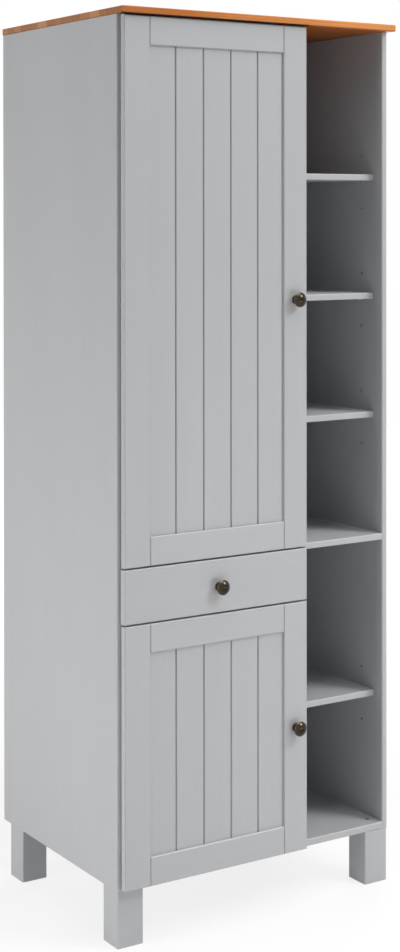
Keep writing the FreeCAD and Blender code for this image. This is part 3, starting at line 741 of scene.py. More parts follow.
KNOB_BRONZE = BronzeFinish()
NICKEL = SteelFinish(low=tint(176, 174, 170), high=tint(208, 207, 204))
DARK_PLATE = SteelFinish(
    low=tint(118, 116, 113),
    high=tint(150, 147, 143),
    rough_low=0.3,
    rough_high=0.5,
    metal_share=0.3,
)
CATCH_PLASTIC = PlasticFinish()


def turns(whole: float, steps: int) -> list[float]:
    """Even steps of a turn, both ends included."""
    return [whole * number / steps for number in range(steps + 1)]


def as_mesh(form: Form, name: str) -> bpy.types.Mesh:
    """A mesh made from a form, which is used up.

    Args:
        form: the form.
        name: name of the mesh.

    Returns:
        The mesh.
    """
    mesh = bpy.data.meshes.new(name)
    form.to_mesh(mesh)
    form.free()
    return mesh


def linked(name: str, data: bpy.types.ID) -> bpy.types.Object:
    """A new object in the scene.

    Args:
        name: name of the object.
        data: its mesh, lamp or camera.

    Returns:
        The object.
    """
    made = bpy.data.objects.new(name, data)
    bpy.context.scene.collection.objects.link(made)
    return made


def lathe(profile: Sequence[Point], sides: int) -> Form:
    """A turned form about Z.

    Args:
        profile: radius and height of each ring, from one closed end to the other.
        sides: how many sides a ring has.

    Returns:
        The closed form.
    """
    form = bmesh.new()
    around = turns(math.tau, sides)[:-1]
    rings = []
    for radius, height in profile:
        spots = [(radius * math.cos(t), radius * math.sin(t), height) for t in around]
        rings.append([form.verts.new(spot) for spot in (spots if radius else spots[:1])])
    for low, high in zip(rings, rings[1:]):
        for number in range(sides):
            after = (number + 1) % sides
            corners = ((low, number), (low, after), (high, after), (high, number))
            unique = list(dict.fromkeys(ring[spot % len(ring)] for ring, spot in corners))
            if len(unique) > 2:
                form.faces.new(unique)
    for ring in (rings[0], rings[-1]):
        if len(ring) > 1:
            form.faces.new(ring)
    bmesh.ops.recalc_face_normals(form, faces=form.faces)
    return form


def prism(outline: Sequence[Point], low: float, high: float) -> Form:
    """An upright prism on a flat outline.

    Args:
        outline: corners of the outline, in order.
        low: height of its underside.
        high: height of its top.

    Returns:
        The closed form.
    """
    form = bmesh.new()
    under, over = ([form.verts.new((x, y, level)) for x, y in outline] for level in (low, high))
    form.faces.new(under)
    form.faces.new(over)
    for number in range(len(outline)):
        form.faces.new((under[number - 1], under[number], over[number], over[number - 1]))
    bmesh.ops.recalc_face_normals(form, faces=form.faces)
    return form


def rounded_outline(width: float, height: float, radius: float, steps: int = 6) -> list[Point]:
    """A rectangle about the origin with round corners.

    Args:
        width: its size along the first axis.
        height: its size along the second axis.
        radius: radius of the corners.
        steps: how many flats a corner has.

    Returns:
        The corners of the outline, in order.
    """
    outline = []
    for quarter, (right, up) in enumerate(((1, 1), (-1, 1), (-1, -1), (1, -1))):
        x, y = right * (width / 2 - radius), up * (height / 2 - radius)
        for number in range(steps + 1):
            turn = QUARTER * (quarter + number / steps)
            outline.append((x + radius * math.cos(turn), y + radius * math.sin(turn)))
    return outline


def bent_outline(points: Sequence[Point], radius: float, thickness: float, steps: int = 6) -> list[Point]:
    """The outline of a strip of even thickness, bent with a steady radius along a row of points.

    Args:
        points: where the strip's middle line would turn if its bends were sharp.
        radius: radius of the middle line at the bends.
        thickness: thickness of the strip.
        steps: how many flats a bend has.

    Returns:
        The corners of the outline, in order.
    """
    spots = [Vector(point) for point in points]
    ways = [(after - before).normalized() for before, after in zip(spots, spots[1:])]
    stations = [(spots[0], ways[0])]
    for corner, before, after in zip(spots[1:], ways, ways[1:]):
        bend = math.atan2(before.x * after.y - before.y * after.x, before.dot(after))
        start = corner - before * (radius * math.tan(abs(bend) / 2))
        aside = Vector((-before.y, before.x)) * math.copysign(radius, bend)
        for turn in turns(bend, steps):
            spin = Matrix.Rotation(turn, 2)
            stations.append((start + aside - spin @ aside, spin @ before))
    stations.append((spots[-1], ways[-1]))
    half = thickness / 2
    left = [(spot.x - way.y * half, spot.y + way.x * half) for spot, way in stations]
    right = [(spot.x + way.y * half, spot.y - way.x * half) for spot, way in stations]
    return left + right[::-1]


def carved(body: Form, cutter: Form) -> Form:
    """Cuts one form out of another, and uses both up.

    Args:
        body: the form that is cut.
        cutter: the form that cuts it.

    Returns:
        The cut form.
    """
    helpers = [linked("carving", as_mesh(form, "carving")) for form in (body, cutter)]
    modifier = helpers[0].modifiers.new("carving", "BOOLEAN")
    modifier.object = helpers[1]
    modifier.solver = "EXACT"
    bpy.context.view_layer.update()
    result = bmesh.new()
    result.from_object(helpers[0], bpy.context.evaluated_depsgraph_get())
    for helper in helpers:
        mesh = helper.data
        bpy.data.objects.remove(helper)
        bpy.data.meshes.remove(mesh)
    return result


def placed(origin: Sequence[float], axis: Sequence[float]) -> Matrix:
    """Where a form goes whose own origin and Z axis are turned to others."""
    turn = Vector(axis).to_track_quat("Z", "Y").to_matrix().to_4x4()
    return Matrix.Translation(Vector(origin)) @ turn


def stamped(form: Form, places: Iterable[Matrix]) -> Form:
    """One form with a copy of another at each place, which is used up.

    Args:
        form: the form to copy.
        places: placement of each copy.

    Returns:
        The copies as one form.
    """
    mesh = as_mesh(form, "stamp")
    result = bmesh.new()
    for place in places:
        start = len(result.verts)
        result.from_mesh(mesh)
        result.verts.ensure_lookup_table()
        bmesh.ops.transform(result, matrix=place, verts=result.verts[start:])
    bpy.data.meshes.remove(mesh)
    return result


def merged(*forms: Form) -> Form:
    """Several forms as one, which are used up.

    Args:
        forms: the forms.

    Returns:
        The one form.
    """
    result = bmesh.new()
    for form in forms:
        mesh = as_mesh(form, "merge")
        result.from_mesh(mesh)
        bpy.data.meshes.remove(mesh)
    return result


@dataclass
class Piece:
    """One new piece of the scene: its form, its finish and what carries it."""

    name: str
    form: Form
    material: Material
    body: Body
    slot: Slot
    stands_for: tuple[str, ...] = ()
    place: Matrix = field(default_factory=Matrix)
    crease: float = 35.0

    def make(self) -> bpy.types.Object:
        """Makes the object, shades it and sets it on its body.

        Returns:
            The object.
        """
        mesh = as_mesh(self.form, self.name)
        mesh.polygons.foreach_set("use_smooth", [True] * len(mesh.polygons))
        mesh.set_sharp_from_angle(angle=math.radians(self.crease))
        mesh.materials.append(self.material)
        made = linked(self.name, mesh)
        made.matrix_world = self.place
        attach(made, self.body.value)
        if self.stands_for:
            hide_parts(*self.stands_for)
        return made


def coat(node: str, material: Material) -> None:
    """Gives a node of the frame a finish.

    Args:
        node: name of the node.
        material: the finish.
    """
    for slot in frame["nodes"][node].material_slots:
        slot.material = material
    LOG.info("dressed %s in %s", node, material.name)


def eased(
    node: str, width: float, steps: int = 3, least_angle: float = 40.0, weld_share: float = 0.01
) -> None:
    """Rounds the sharp edges of a node of the frame a little.

    Args:
        node: name of the node.
        width: how far the rounding reaches from an edge.
        steps: how many flats the rounding has.
        least_angle: the bend in degrees from which an edge counts as sharp.
        weld_share: how near the corners lie that are joined first, as a share of the width.
    """
    shown = frame["nodes"][node]
    weld = shown.modifiers.new("joined_corners", "WELD")
    weld.merge_threshold = width * weld_share
    rounding = shown.modifiers.new("eased_edges", "BEVEL")
    rounding.width = width
    rounding.segments = steps
    rounding.limit_method = "ANGLE"
    rounding.angle_limit = math.radians(least_angle)
    rounding.harden_normals = True


def nodes_in(slot: Slot) -> list[str]:
    """The names of the nodes that the record puts in a material slot, in order."""
    return [row["node"] for row in frame["record"]["subparts"] if row["material_slot"] == slot.value]


def middle_of(node: str) -> Vector:
    """The middle of a node's box."""
    low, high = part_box(node)
    return (low + high) / 2


def levels_of(node: str, gap: float) -> list[float]:
    """The middle heights of the stretches that a node takes up one above another.

    Args:
        node: name of the node.
        gap: the least gap that parts two stretches.

    Returns:
        The heights, from the lowest up.
    """
    heights = sorted(vertex.co.z for vertex in frame["nodes"][node].data.vertices)
    found = [[heights[0], heights[0]]]
    for height in heights:
        if height - found[-1][1] > gap:
            found.append([height, height])
        found[-1][1] = height
    return [(low + high) / 2 for low, high in found]


@dataclass(frozen=True)
class ScrewHead:
    """A pan head with a cross recess."""

    radius: float = 0.0036
    height: float = 0.0019
    recess: float = 0.0042
    recess_width: float = 0.0009
    recess_depth: float = 0.0011
    wall_share: float = 0.35
    dome_power: float = 0.6
    sides: int = 32
    rings: int = 6

    def form(self) -> Form:
        """The head, its underside in the plane z = 0.

        Returns:
            The closed form.
        """
        wall = self.wall_share
        profile = [(0, 0), (self.radius, 0), (self.radius, self.height * wall)]
        for turn in turns(QUARTER, self.rings)[1:-1]:
            rise = self.height * (wall + (1 - wall) * math.sin(turn))
            profile.append((self.radius * math.cos(turn) ** self.dome_power, rise))
        profile.append((0, self.height))
        arm, half = self.recess / 2, self.recess_width / 2
        cross = [
            (-arm, -half), (-half, -half), (-half, -arm), (half, -arm), (half, -half), (arm, -half),
            (arm, half), (half, half), (half, arm), (-half, arm), (-half, half), (-arm, half),
        ]
        cutter = prism(cross, self.height - self.recess_depth, self.height + self.recess_depth)
        return carved(lathe(profile, self.sides), cutter)


@dataclass
class Knob:
    """A turned mushroom knob of antique bronze."""

    body: Body
    node: str
    material: Material
    reach: float = 0.024
    base_radius: float = 0.0090
    base_height: float = 0.0020
    base_chamfer: float = 0.0005
    foot_chamfer: float = 0.0004
    neck_inset: float = 0.0012
    neck_radius: float = 0.0062
    neck_height: float = 0.0082
    rim_radius: float = 0.0150
    rim_height: float = 0.0172
    rim_roll: float = 0.0011
    rim_turn: float = 130.0
    steps: int = 10
    sides: int = 72

    def profile(self) -> list[Point]:
        """The knob's half section, from its foot to its crown.

        Returns:
            Radius and height of each ring.
        """
        base, chamfer, neck = self.base_radius, self.base_chamfer, self.neck_radius
        points = [(0.0, 0.0), (base - self.foot_chamfer, 0.0), (base, chamfer)]
        points += [(base, self.base_height - chamfer), (base - chamfer, self.base_height)]
        start = base - self.neck_inset
        climb = self.neck_height - self.base_height
        for turn in turns(QUARTER, self.steps):
            radius = start - (start - neck) * math.sin(turn)
            points.append((radius, self.base_height + climb * (1 - math.cos(turn))))
        under = self.rim_height - 2 * self.rim_roll
        flare = self.rim_radius - self.rim_roll - neck
        for number, turn in list(enumerate(turns(math.pi, self.steps)))[1:-1]:
            share = (1 - math.cos(turn)) / 2
            radius = neck + flare * number / self.steps
            points.append((radius, self.neck_height + (under - self.neck_height) * share))
        centre = self.rim_height - self.rim_roll
        for swing in turns(math.radians(self.rim_turn), self.steps):
            turn = swing - QUARTER
            radius = self.rim_radius - self.rim_roll + self.rim_roll * math.cos(turn)
            points.append((radius, centre + self.rim_roll * math.sin(turn)))
        edge, low = points[-1]
        rise = self.reach - low
        ball = (edge**2 + rise**2) / (2 * rise)
        opening = math.asin(edge / ball)
        for number in range(1, self.steps):
            turn = opening * (1 - number / self.steps)
            points.append((ball * math.sin(turn), self.reach - ball * (1 - math.cos(turn))))
        return points + [(0.0, self.reach)]

    def build(self) -> Piece:
        """The knob on its front.

        Returns:
            The piece.
        """
        middle = middle_of(self.node)
        foot = (middle.x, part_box(self.node)[1].y, middle.z)
        return Piece(
            name=f"{self.node}_turned",
            form=lathe(self.profile(), self.sides),
            material=self.material,
            body=self.body,
            slot=Slot.BRONZE,
            stands_for=(self.node,),
            place=placed(foot, TO_FRONT),
        )


@dataclass
class Carcass:
    """The boards of the carcass, its shelves, back panels, shelf pins and nails."""

    steel: Material
    dark_steel: Material
    board_seed: float = 3.7
    top_seed: float = 57.0
    back_seed: float = 7.3
    pin_radius: float = 0.0025
    pin_in: float = 0.006
    pin_out: float = 0.008
    pin_round: float = 0.0008
    pin_bulge: Point = (0.35, 0.3)
    pin_gap: float = 0.02
    collar_radius: float = 0.0036
    collar_height: float = 0.0010
    collar_wall_share: float = 0.6
    collar_chamfer: float = 0.0004
    pin_sides: int = 32
    nail_pitch: float = 0.118
    nail_radius: float = 0.0024
    nail_height: float = 0.0007
    nail_section: tuple[Point, ...] = ((0, -1), (0.5, -1), (1, 0), (0.95, 0.5), (0.6, 0.9), (0, 1))
    nail_inset: float = 0.003
    nail_sides: int = 20

    def dress(self) -> None:
        """Paints the boards and finishes the top and the back panels."""
        for number, node in enumerate(nodes_in(Slot.PAINT)):
            low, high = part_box(node)
            size = high - low
            along = Axis.UP if size.z > max(size.x, size.y) else Axis.ACROSS
            # The left side panel's paint carries painted light on its front edge.
            finish = SIDE_PAINT if node == "left_side_panel" else PAINT
            if node.startswith(("upper_door", "lower_door", "drawer_front")):
                finish = PANEL_PAINT if node.endswith("_panel") else FRONT_PAINT
            coat(node, finish.material(f"paint_{node}", (low, high), along, self.board_seed * number))
        for node in nodes_in(Slot.STAIN):
            wood = STAINED_STAVES.material(
                f"stain_{node}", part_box(node), Axis.ACROSS, Axis.DEEP, self.top_seed)
            coat(node, wood)
        for number, node in enumerate(nodes_in(Slot.BACK)):
            coat(node, LACQUERED_BACK.material(f"board_{node}", Axis.DEEP, 1, self.back_seed * number))

    def pins(self) -> Piece:
        """The shelf pins with their collars, rounded at the tip.

        Returns:
            The piece.
        """
        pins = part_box("shelf_pins")
        columns = (pins[0].y + self.pin_radius, pins[1].y - self.pin_radius)
        levels = levels_of("shelf_pins", self.pin_gap)
        faces = (
            (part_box("left_side_panel")[1].x, TO_RIGHT),
            (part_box("divider_panel")[0].x, TO_LEFT),
            (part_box("divider_panel")[1].x, TO_RIGHT),
            (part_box("right_side_panel")[0].x, TO_LEFT),
        )
        radius, out, bend = self.pin_radius, self.pin_out, self.pin_round
        collar, rise = self.collar_radius, self.collar_height
        profile = [
            (0, -self.pin_in), (radius, -self.pin_in), (radius, 0), (collar, 0),
            (collar, rise * self.collar_wall_share), (collar - self.collar_chamfer, rise), (radius, rise),
            (radius, out - bend), (radius - bend * self.pin_bulge[0], out - bend * self.pin_bulge[1]),
            (radius - bend, out), (0, out),
        ]
        places = [placed((x, y, z), way) for x, way in faces for y in columns for z in levels]
        form = stamped(lathe(profile, self.pin_sides), places)
        return Piece("shelf_pin_set", form, self.steel, Body.CARCASS, Slot.STEEL, ("shelf_pins",))

    def nails(self) -> Piece:
        """The nails that hold the back panels.

        Returns:
            The piece.
        """
        inset, places = self.nail_inset, []
        for node in ("lower_back_panel", "upper_back_panel"):
            low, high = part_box(node)
            count = round((high.z - low.z) / self.nail_pitch)
            pitch = (high.z - low.z) / count
            for x in (low.x + inset, middle_of("divider_panel").x, high.x - inset):
                places += [(x, high.y, low.z + pitch * (number + 0.5)) for number in range(count)]
            row = high.z - inset if node.startswith("lower") else low.z + inset
            across = round((high.x - low.x) / self.nail_pitch)
            step = (high.x - low.x) / across
            places += [(low.x + step * (number + 0.5), high.y, row) for number in range(across)]
        profile = [(self.nail_radius * out, self.nail_height * up) for out, up in self.nail_section]
        form = stamped(lathe(profile, self.nail_sides), [placed(place, TO_BACK) for place in places])
        return Piece("back_panel_nails", form, self.dark_steel, Body.CARCASS, Slot.DARK_STEEL)

    def build(self) -> list[Piece]:
        """The new pieces of the carcass."""
        return [self.pins(), self.nails()]


@dataclass
class Feet:
    """The bolts of the square feet."""

    dark_steel: Material
    shank_radius: float = 0.0030
    tip_chamfer: float = 0.001
    head_radius: float = 0.0045
    head_height: float = 0.0020
    round_share: float = 0.35
    round_bulge: float = 0.3
    socket_sides: int = 6
    socket_across: float = 0.0035
    socket_depth: float = 0.0014
    sides: int = 40

    def build(self) -> list[Piece]:
        """The bolts that hold the feet, with a hexagon socket in each head.

        Returns:
            The one piece.
        """
        low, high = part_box("foot_bolts")
        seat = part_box("bottom_board")[1].z
        tip, chamfer = low.z - seat, self.tip_chamfer
        shank, head, top = self.shank_radius, self.head_radius, self.head_height
        bend = top * self.round_share
        bulge = bend * self.round_bulge
        profile = [
            (0, tip), (shank - chamfer, tip), (shank, tip + chamfer), (shank, 0), (head, 0),
            (head, top - bend), (head - bulge, top - bulge), (head - bend, top), (0, top),
        ]
        corner = self.socket_across / 2 / math.cos(math.pi / self.socket_sides)
        around = turns(math.tau, self.socket_sides)[:-1]
        outline = [(corner * math.cos(t), corner * math.sin(t)) for t in around]
        socket = prism(outline, top - self.socket_depth, top + self.socket_depth)
        bolt = carved(lathe(profile, self.sides), socket)
        columns, ranks = (low.x + head, high.x - head), (low.y + head, high.y - head)
        form = stamped(bolt, [Matrix.Translation((x, y, seat)) for x in columns for y in ranks])
        slot, nodes = Slot.DARK_STEEL, ("foot_bolts",)
        return [Piece("foot_bolt_set", form, self.dark_steel, Body.CARCASS, slot, nodes)]


@dataclass
class Hinges:
    """The concealed hinges of one door: cups let into the door, arms and plates on the side panel."""

    door: str
    body: Body
    steel: Material
    screw: ScrewHead = ScrewHead()
    arm_screw: ScrewHead = ScrewHead(
        radius=0.0028, height=0.0012, recess=0.0034, recess_width=0.0008, recess_depth=0.0008)
    level_gap: float = 0.06
    cup_radius: float = 0.0174
    cup_depth: float = 0.0120
    cup_wall: float = 0.0008
    cup_round: float = 0.0020
    flange_width: float = 0.0160
    flange_length: float = 0.0520
    flange_thickness: float = 0.0010
    flange_shift: float = 0.0040
    flange_round: float = 0.0070
    flange_screw_reach: float = 0.0213
    lug_radius: float = 0.0023
    lug_start: float = 0.0066
    lug_thickness: float = 0.0025
    eye_radius: float = 0.0026
    eye_chamfer: float = 0.0004
    eye_sides: int = 24
    arm_thickness: float = 0.0022
    arm_width: float = 0.0120
    arm_reach: float = 0.0120
    arm_knee_rise: float = 0.0085
    arm_back_rise: float = 0.0180
    arm_length: float = 0.0580
    arm_standoff: float = 0.0095
    arm_bend: float = 0.0019
    plate_thickness: float = 0.0020
    plate_length: float = 0.0480
    wing_width: float = 0.0140
    wing_round: float = 0.0060
    block_length: float = 0.0340
    block_round: float = 0.0020
    plate_screw_reach: float = 0.0175
    arm_screw_reach: float = 0.0090
    round_steps: int = 6
    lug_steps: int = 12
    sides: int = 48

    def levels(self) -> list[float]:
        """The heights of the hinges."""
        return levels_of(f"{self.door}_hinge_plates", self.level_gap)

    def axis(self) -> Vector:
        """A point on the line that the door turns about."""
        return middle_of(f"{self.door}_hinge_pins")

    def cup_middle(self) -> Vector:
        """The middle of the cups' mouths, in the plane of the door's back."""
        node = f"{self.door}_hinge_cups"
        return Vector((middle_of(node).x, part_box(node)[1].y - self.flange_thickness, 0))

    def fitting(self, kind: str, form: Form, places: list[Matrix], body: Body) -> Piece:
        """A form at each hinge, in place of the door's node of that kind.

        Args:
            kind: what the node holds, in the singular.
            form: the form of one.
            places: where they go.
            body: the body that carries them.

        Returns:
            The piece.
        """
        name = f"{self.door}_hinge_{kind}"
        return Piece(f"{name}_set", stamped(form, places), self.steel, body, Slot.STEEL, (f"{name}s",))

    def cup(self) -> Form:
        """One cup, its mouth in the plane z = 0 and its lugs on the +X side.

        Returns:
            The form.
        """
        outer, floor, bend = self.cup_radius, -self.cup_depth, self.cup_round
        inner, inner_floor = outer - self.cup_wall, floor + self.cup_wall
        bows = []
        for radius, height in ((outer, floor), (inner, inner_floor)):
            arc = [(radius - bend + bend * math.sin(t), height + bend - bend * math.cos(t))
                   for t in turns(QUARTER, self.round_steps)]
            bows.append([*arc, (radius, 0)])
        bowl = lathe([(0, floor), *bows[0], *bows[1][::-1], (0, inner_floor)], self.sides)
        outline = rounded_outline(self.flange_width, self.flange_length, self.flange_round)
        flange = prism([(x - self.flange_shift, y) for x, y in outline], 0, self.flange_thickness)
        above = self.cup_depth
        mouth = lathe([(0, floor), (inner, floor), (inner, above), (0, above)], self.sides)
        pin = self.axis() - self.cup_middle()
        reach, arch = self.lug_radius, turns(math.pi, self.lug_steps)
        lug = [(reach * math.cos(t) - pin.x, reach * math.sin(t) + pin.y) for t in arch]
        lug += [(spot[0], floor + self.cup_wall / 2) for spot in (lug[-1], lug[0])]
        tilt = Matrix.Rotation(QUARTER, 4, "X")
        starts = (self.lug_start, -self.lug_start - self.lug_thickness)
        lugs = [stamped(prism(lug, start, start + self.lug_thickness), [tilt]) for start in starts]
        return merged(bowl, carved(flange, mouth), *lugs)

    def cups(self) -> Piece:
        """The cups with their flanges and lugs.

        Returns:
            The piece.
        """
        middle = self.cup_middle()
        places = [placed((middle.x, middle.y, level), TO_BACK) for level in self.levels()]
        return self.fitting("cup", self.cup(), places, self.body)

    def arms(self) -> Piece:
        """The goose-neck arms, each with the eye that turns on its pin.

        Returns:
            The piece.
        """
        axis = self.axis()
        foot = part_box("left_side_panel")[1].x + self.arm_standoff - axis.x
        line = [
            (0, 0), (self.arm_reach, 0), (self.arm_reach, self.arm_knee_rise),
            (foot, self.arm_back_rise), (foot, self.arm_length),
        ]
        half = self.arm_width / 2
        strip = prism(bent_outline(line, self.arm_bend, self.arm_thickness), -half, half)
        wide, narrow, short = self.eye_radius, self.eye_radius - self.eye_chamfer, half - self.eye_chamfer
        rings = [(0, -half), (narrow, -half), (wide, -short), (wide, short), (narrow, half), (0, half)]
        arm = merged(strip, lathe(rings, self.eye_sides))
        places = [Matrix.Translation((axis.x, axis.y, level)) for level in self.levels()]
        return self.fitting("arm", arm, places, Body.CARCASS)

    def plates(self) -> Piece:
        """The mounting plates, each a raised block with two round-ended wings.

        Returns:
            The piece.
        """
        node = f"{self.door}_hinge_plates"
        wings = rounded_outline(self.wing_width, self.plate_length, self.wing_round)
        block = rounded_outline(self.block_length, self.arm_width, self.block_round)
        rise = self.arm_standoff - self.arm_thickness / 2
        plate = merged(prism(wings, 0, self.plate_thickness), prism(block, 0, rise))
        x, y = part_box(node)[0].x, middle_of(node).y
        places = [placed((x, y, level), TO_RIGHT) for level in self.levels()]
        return self.fitting("plate", plate, places, Body.CARCASS)

    def plate_screws(self) -> Piece:
        """The screws of the plates and those that clamp the arms, on the side panel.

        Returns:
            The piece.
        """
        node = f"{self.door}_hinge_plates"
        panel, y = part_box(node)[0].x, middle_of(node).y
        wing, arm = panel + self.plate_thickness, panel + self.arm_standoff + self.arm_thickness / 2
        on_wings, on_arms = [], []
        for level in self.levels():
            for side in (-1, 1):
                on_wings.append(placed((wing, y, level + side * self.plate_screw_reach), TO_RIGHT))
                on_arms.append(placed((arm, y + side * self.arm_screw_reach, level), TO_RIGHT))
        form = merged(stamped(self.screw.form(), on_wings), stamped(self.arm_screw.form(), on_arms))
        return Piece(f"{self.door}_plate_screws", form, self.steel, Body.CARCASS, Slot.STEEL)

    def flange_screws(self) -> Piece:
        """The screws of the cups' flanges, on the door.

        Returns:
            The piece.
        """
        middle = self.cup_middle()
        x, y = middle.x + self.flange_shift, middle.y + self.flange_thickness
        heights = [level + side * self.flange_screw_reach for level in self.levels() for side in (-1, 1)]
        form = stamped(self.screw.form(), [placed((x, y, z), TO_BACK) for z in heights])
        return Piece(f"{self.door}_flange_screws", form, self.steel, self.body, Slot.STEEL)

    def build(self) -> list[Piece]:
        """The new pieces of the hinges."""
        return [self.cups(), self.arms(), self.plates(), self.plate_screws(), self.flange_screws()]


@dataclass
class Catches:
    """The magnetic catches on the divider: steel poles in a plastic body, held by two screws."""

    plastic: Material
    steel: Material
    screw: ScrewHead = ScrewHead(
        radius=0.0030, height=0.0012, recess=0.0036, recess_width=0.0008, recess_depth=0.0008)
    level_gap: float = 0.05
    easing: float = 0.0010
    pole_thickness: float = 0.0014
    pole_height: float = 0.0100
    pole_round: float = 0.00042
    pole_gap: float = 0.0046
    pole_length: float = 0.0040
    pole_proud: float = 0.0002
    screw_shares: Point = (0.38, 0.78)

    def dress(self) -> None:
        """Gives the bodies their plastic and rounds their edges."""
        for node in nodes_in(Slot.PLASTIC):
            coat(node, self.plastic)
            eased(node, self.easing)

    def build(self) -> list[Piece]:
        """The poles and the screws of the catches.

        Returns:
            The two pieces.
        """
        low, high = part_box("magnetic_catches")
        levels = levels_of("magnetic_catches", self.level_gap)
        middle = middle_of("magnetic_catches").x
        outline = rounded_outline(self.pole_thickness, self.pole_height, self.pole_round)
        pole = prism(outline, -self.pole_length, self.pole_proud)
        columns = (middle - self.pole_gap / 2, middle + self.pole_gap / 2)
        places = [placed((x, low.y, level), TO_FRONT) for level in levels for x in columns]
        poles = Piece("catch_poles", stamped(pole, places), self.steel, Body.CARCASS, Slot.STEEL)
        depths = [low.y + (high.y - low.y) * share for share in self.screw_shares]
        places = [placed((low.x, depth, level), TO_LEFT) for level in levels for depth in depths]
        screws = stamped(self.screw.form(), places)
        return [poles, Piece("catch_screws", screws, self.steel, Body.CARCASS, Slot.STEEL)]


@dataclass
class Door:
    """One framed door's fittings: knob, hinges and strike plate."""

    name: str
    body: Body
    bronze: Material
    steel: Material
    screw: ScrewHead = ScrewHead()
    strike_screw: ScrewHead = ScrewHead(
        radius=0.0020, height=0.0006, recess=0.0026, recess_width=0.0006, recess_depth=0.0004)
    strike_screw_reach: float = 0.0095
    strike_easing: float = 0.0003

    def dress(self) -> None:
        """Plates the hinge pins and the strike of the door."""
        coat(f"{self.name}_hinge_pins", self.steel)
        coat(f"{self.name}_strike_plate", self.steel)
        eased(f"{self.name}_strike_plate", self.strike_easing)

    def back_screws(self) -> Piece:
        """The screws on the back of the door: the knob's and the strike plate's.

        Returns:
            The piece.
        """
        strike, reach = f"{self.name}_strike_plate", self.strike_screw_reach
        middle, face = middle_of(strike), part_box(strike)[1].y
        heights = (middle.z - reach, middle.z + reach)
        on_strike = [placed((middle.x, face, height), TO_BACK) for height in heights]
        knob = middle_of(f"{self.name}_knob")
        behind = placed((knob.x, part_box(f"{self.name}_right_stile")[1].y, knob.z), TO_BACK)
        form = merged(stamped(self.screw.form(), [behind]), stamped(self.strike_screw.form(), on_strike))
        return Piece(f"{self.name}_back_screws", form, self.steel, self.body, Slot.STEEL)

    def build(self) -> list[Piece]:
        """The new pieces of the door."""
        knob = Knob(self.body, f"{self.name}_knob", self.bronze).build()
        return [knob, self.back_screws(), *Hinges(self.name, self.body, self.steel).build()]


@dataclass
class Drawer:
    """The drawer's box and its fittings."""

    bronze: Material
    steel: Material
    screw: ScrewHead = ScrewHead()
    board_seed: float = 11.0
    floor_seed: float = 4.0
    dowel_seed: float = 77.0
    screw_inset: float = 0.055
    screw_level_share: float = 0.5
    dowel_radius: float = 0.004
    dowel_length: float = 0.006
    dowel_proud: float = 0.0002
    dowel_sides: int = 28
    dowel_shares: Point = (0.2, 0.8)
    runner_easing: float = 0.001

    def dress(self) -> None:
        """Finishes the boards of the box and the runners."""
        for number, node in enumerate(nodes_in(Slot.CLEAR_WOOD)):
            low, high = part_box(node)
            size = high - low
            along = Axis.DEEP if size.y > size.x else Axis.ACROSS
            seed = self.board_seed * number
            coat(node, CLEAR_PINE.material(f"pine_{node}", (low, high), along, Axis.UP, seed))
        for node in nodes_in(Slot.DRAWER_FLOOR):
            coat(node, PLAIN_HARDBOARD.material(f"board_{node}", Axis.UP, -1, self.floor_seed))
        for node in ("drawer_left_runner", "drawer_right_runner"):
            eased(node, self.runner_easing)

    def screws(self) -> Piece:
        """The screws inside the box that hold its front and its knob.

        Returns:
            The piece.
        """
        low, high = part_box("drawer_inner_front")
        middle = middle_of("drawer_knob")
        level = low.z + (high.z - low.z) * self.screw_level_share
        left, right = low.x + self.screw_inset, high.x - self.screw_inset
        spots = [(left, level), (middle.x, middle.z), (right, level)]
        form = stamped(self.screw.form(), [placed((x, high.y, z), TO_BACK) for x, z in spots])
        return Piece("drawer_front_screws", form, self.steel, Body.DRAWER, Slot.STEEL)

    def dowels(self) -> Piece:
        """The dowel ends in the sides of the box, where its front and back are joined on.

        Returns:
            The piece.
        """
        radius, length = self.dowel_radius, self.dowel_length
        end = lathe([(0, -length), (radius, -length), (radius, 0), (0, self.dowel_proud)], self.dowel_sides)
        depths = [middle_of(node).y for node in ("drawer_inner_front", "drawer_back")]
        places = []
        for node, corner, way in (("drawer_left_side", 0, TO_LEFT), ("drawer_right_side", 1, TO_RIGHT)):
            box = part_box(node)
            heights = [box[0].z + (box[1].z - box[0].z) * share for share in self.dowel_shares]
            places += [placed((box[corner].x, y, z), way) for y in depths for z in heights]
        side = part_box("drawer_left_side")
        wood = CLEAR_PINE.material("dowel_ends", side, Axis.ACROSS, Axis.UP, self.dowel_seed)
        return Piece("drawer_dowel_ends", stamped(end, places), wood, Body.DRAWER, Slot.CLEAR_WOOD)

    def build(self) -> list[Piece]:
        """The new pieces of the drawer."""
        return [Knob(Body.DRAWER, "drawer_knob", self.bronze).build(), self.screws(), self.dowels()]


@dataclass(frozen=True)
class Lamp:
    """A flat soft lamp, aimed at the cabinet: angles in degrees, sizes in metres, power in watts."""

    name: str
    azimuth: float
    elevation: float
    distance: float
    width: float
    height: float
    power: float
    aim: Triple = (0.0, 0.0, 0.9)
    spread: float = 180.0

    def build(self) -> bpy.types.Object:
        """Sets the lamp up.

        Returns:
            The lamp.
        """
        data = bpy.data.lights.new(self.name, "AREA")
        data.shape = "RECTANGLE"
        data.size = self.width
        data.size_y = self.height
        data.energy = self.power
        data.spread = math.radians(self.spread)
        made = linked(self.name, data)
        made.visible_camera = False
        turn, lift = math.radians(self.azimuth), math.radians(self.elevation)
        way = Vector((math.sin(turn) * math.cos(lift), -math.cos(turn) * math.cos(lift), math.sin(lift)))
        made.location = Vector(self.aim) + way * self.distance
        made.rotation_euler = way.to_track_quat("Z", "Y").to_euler()
        return made


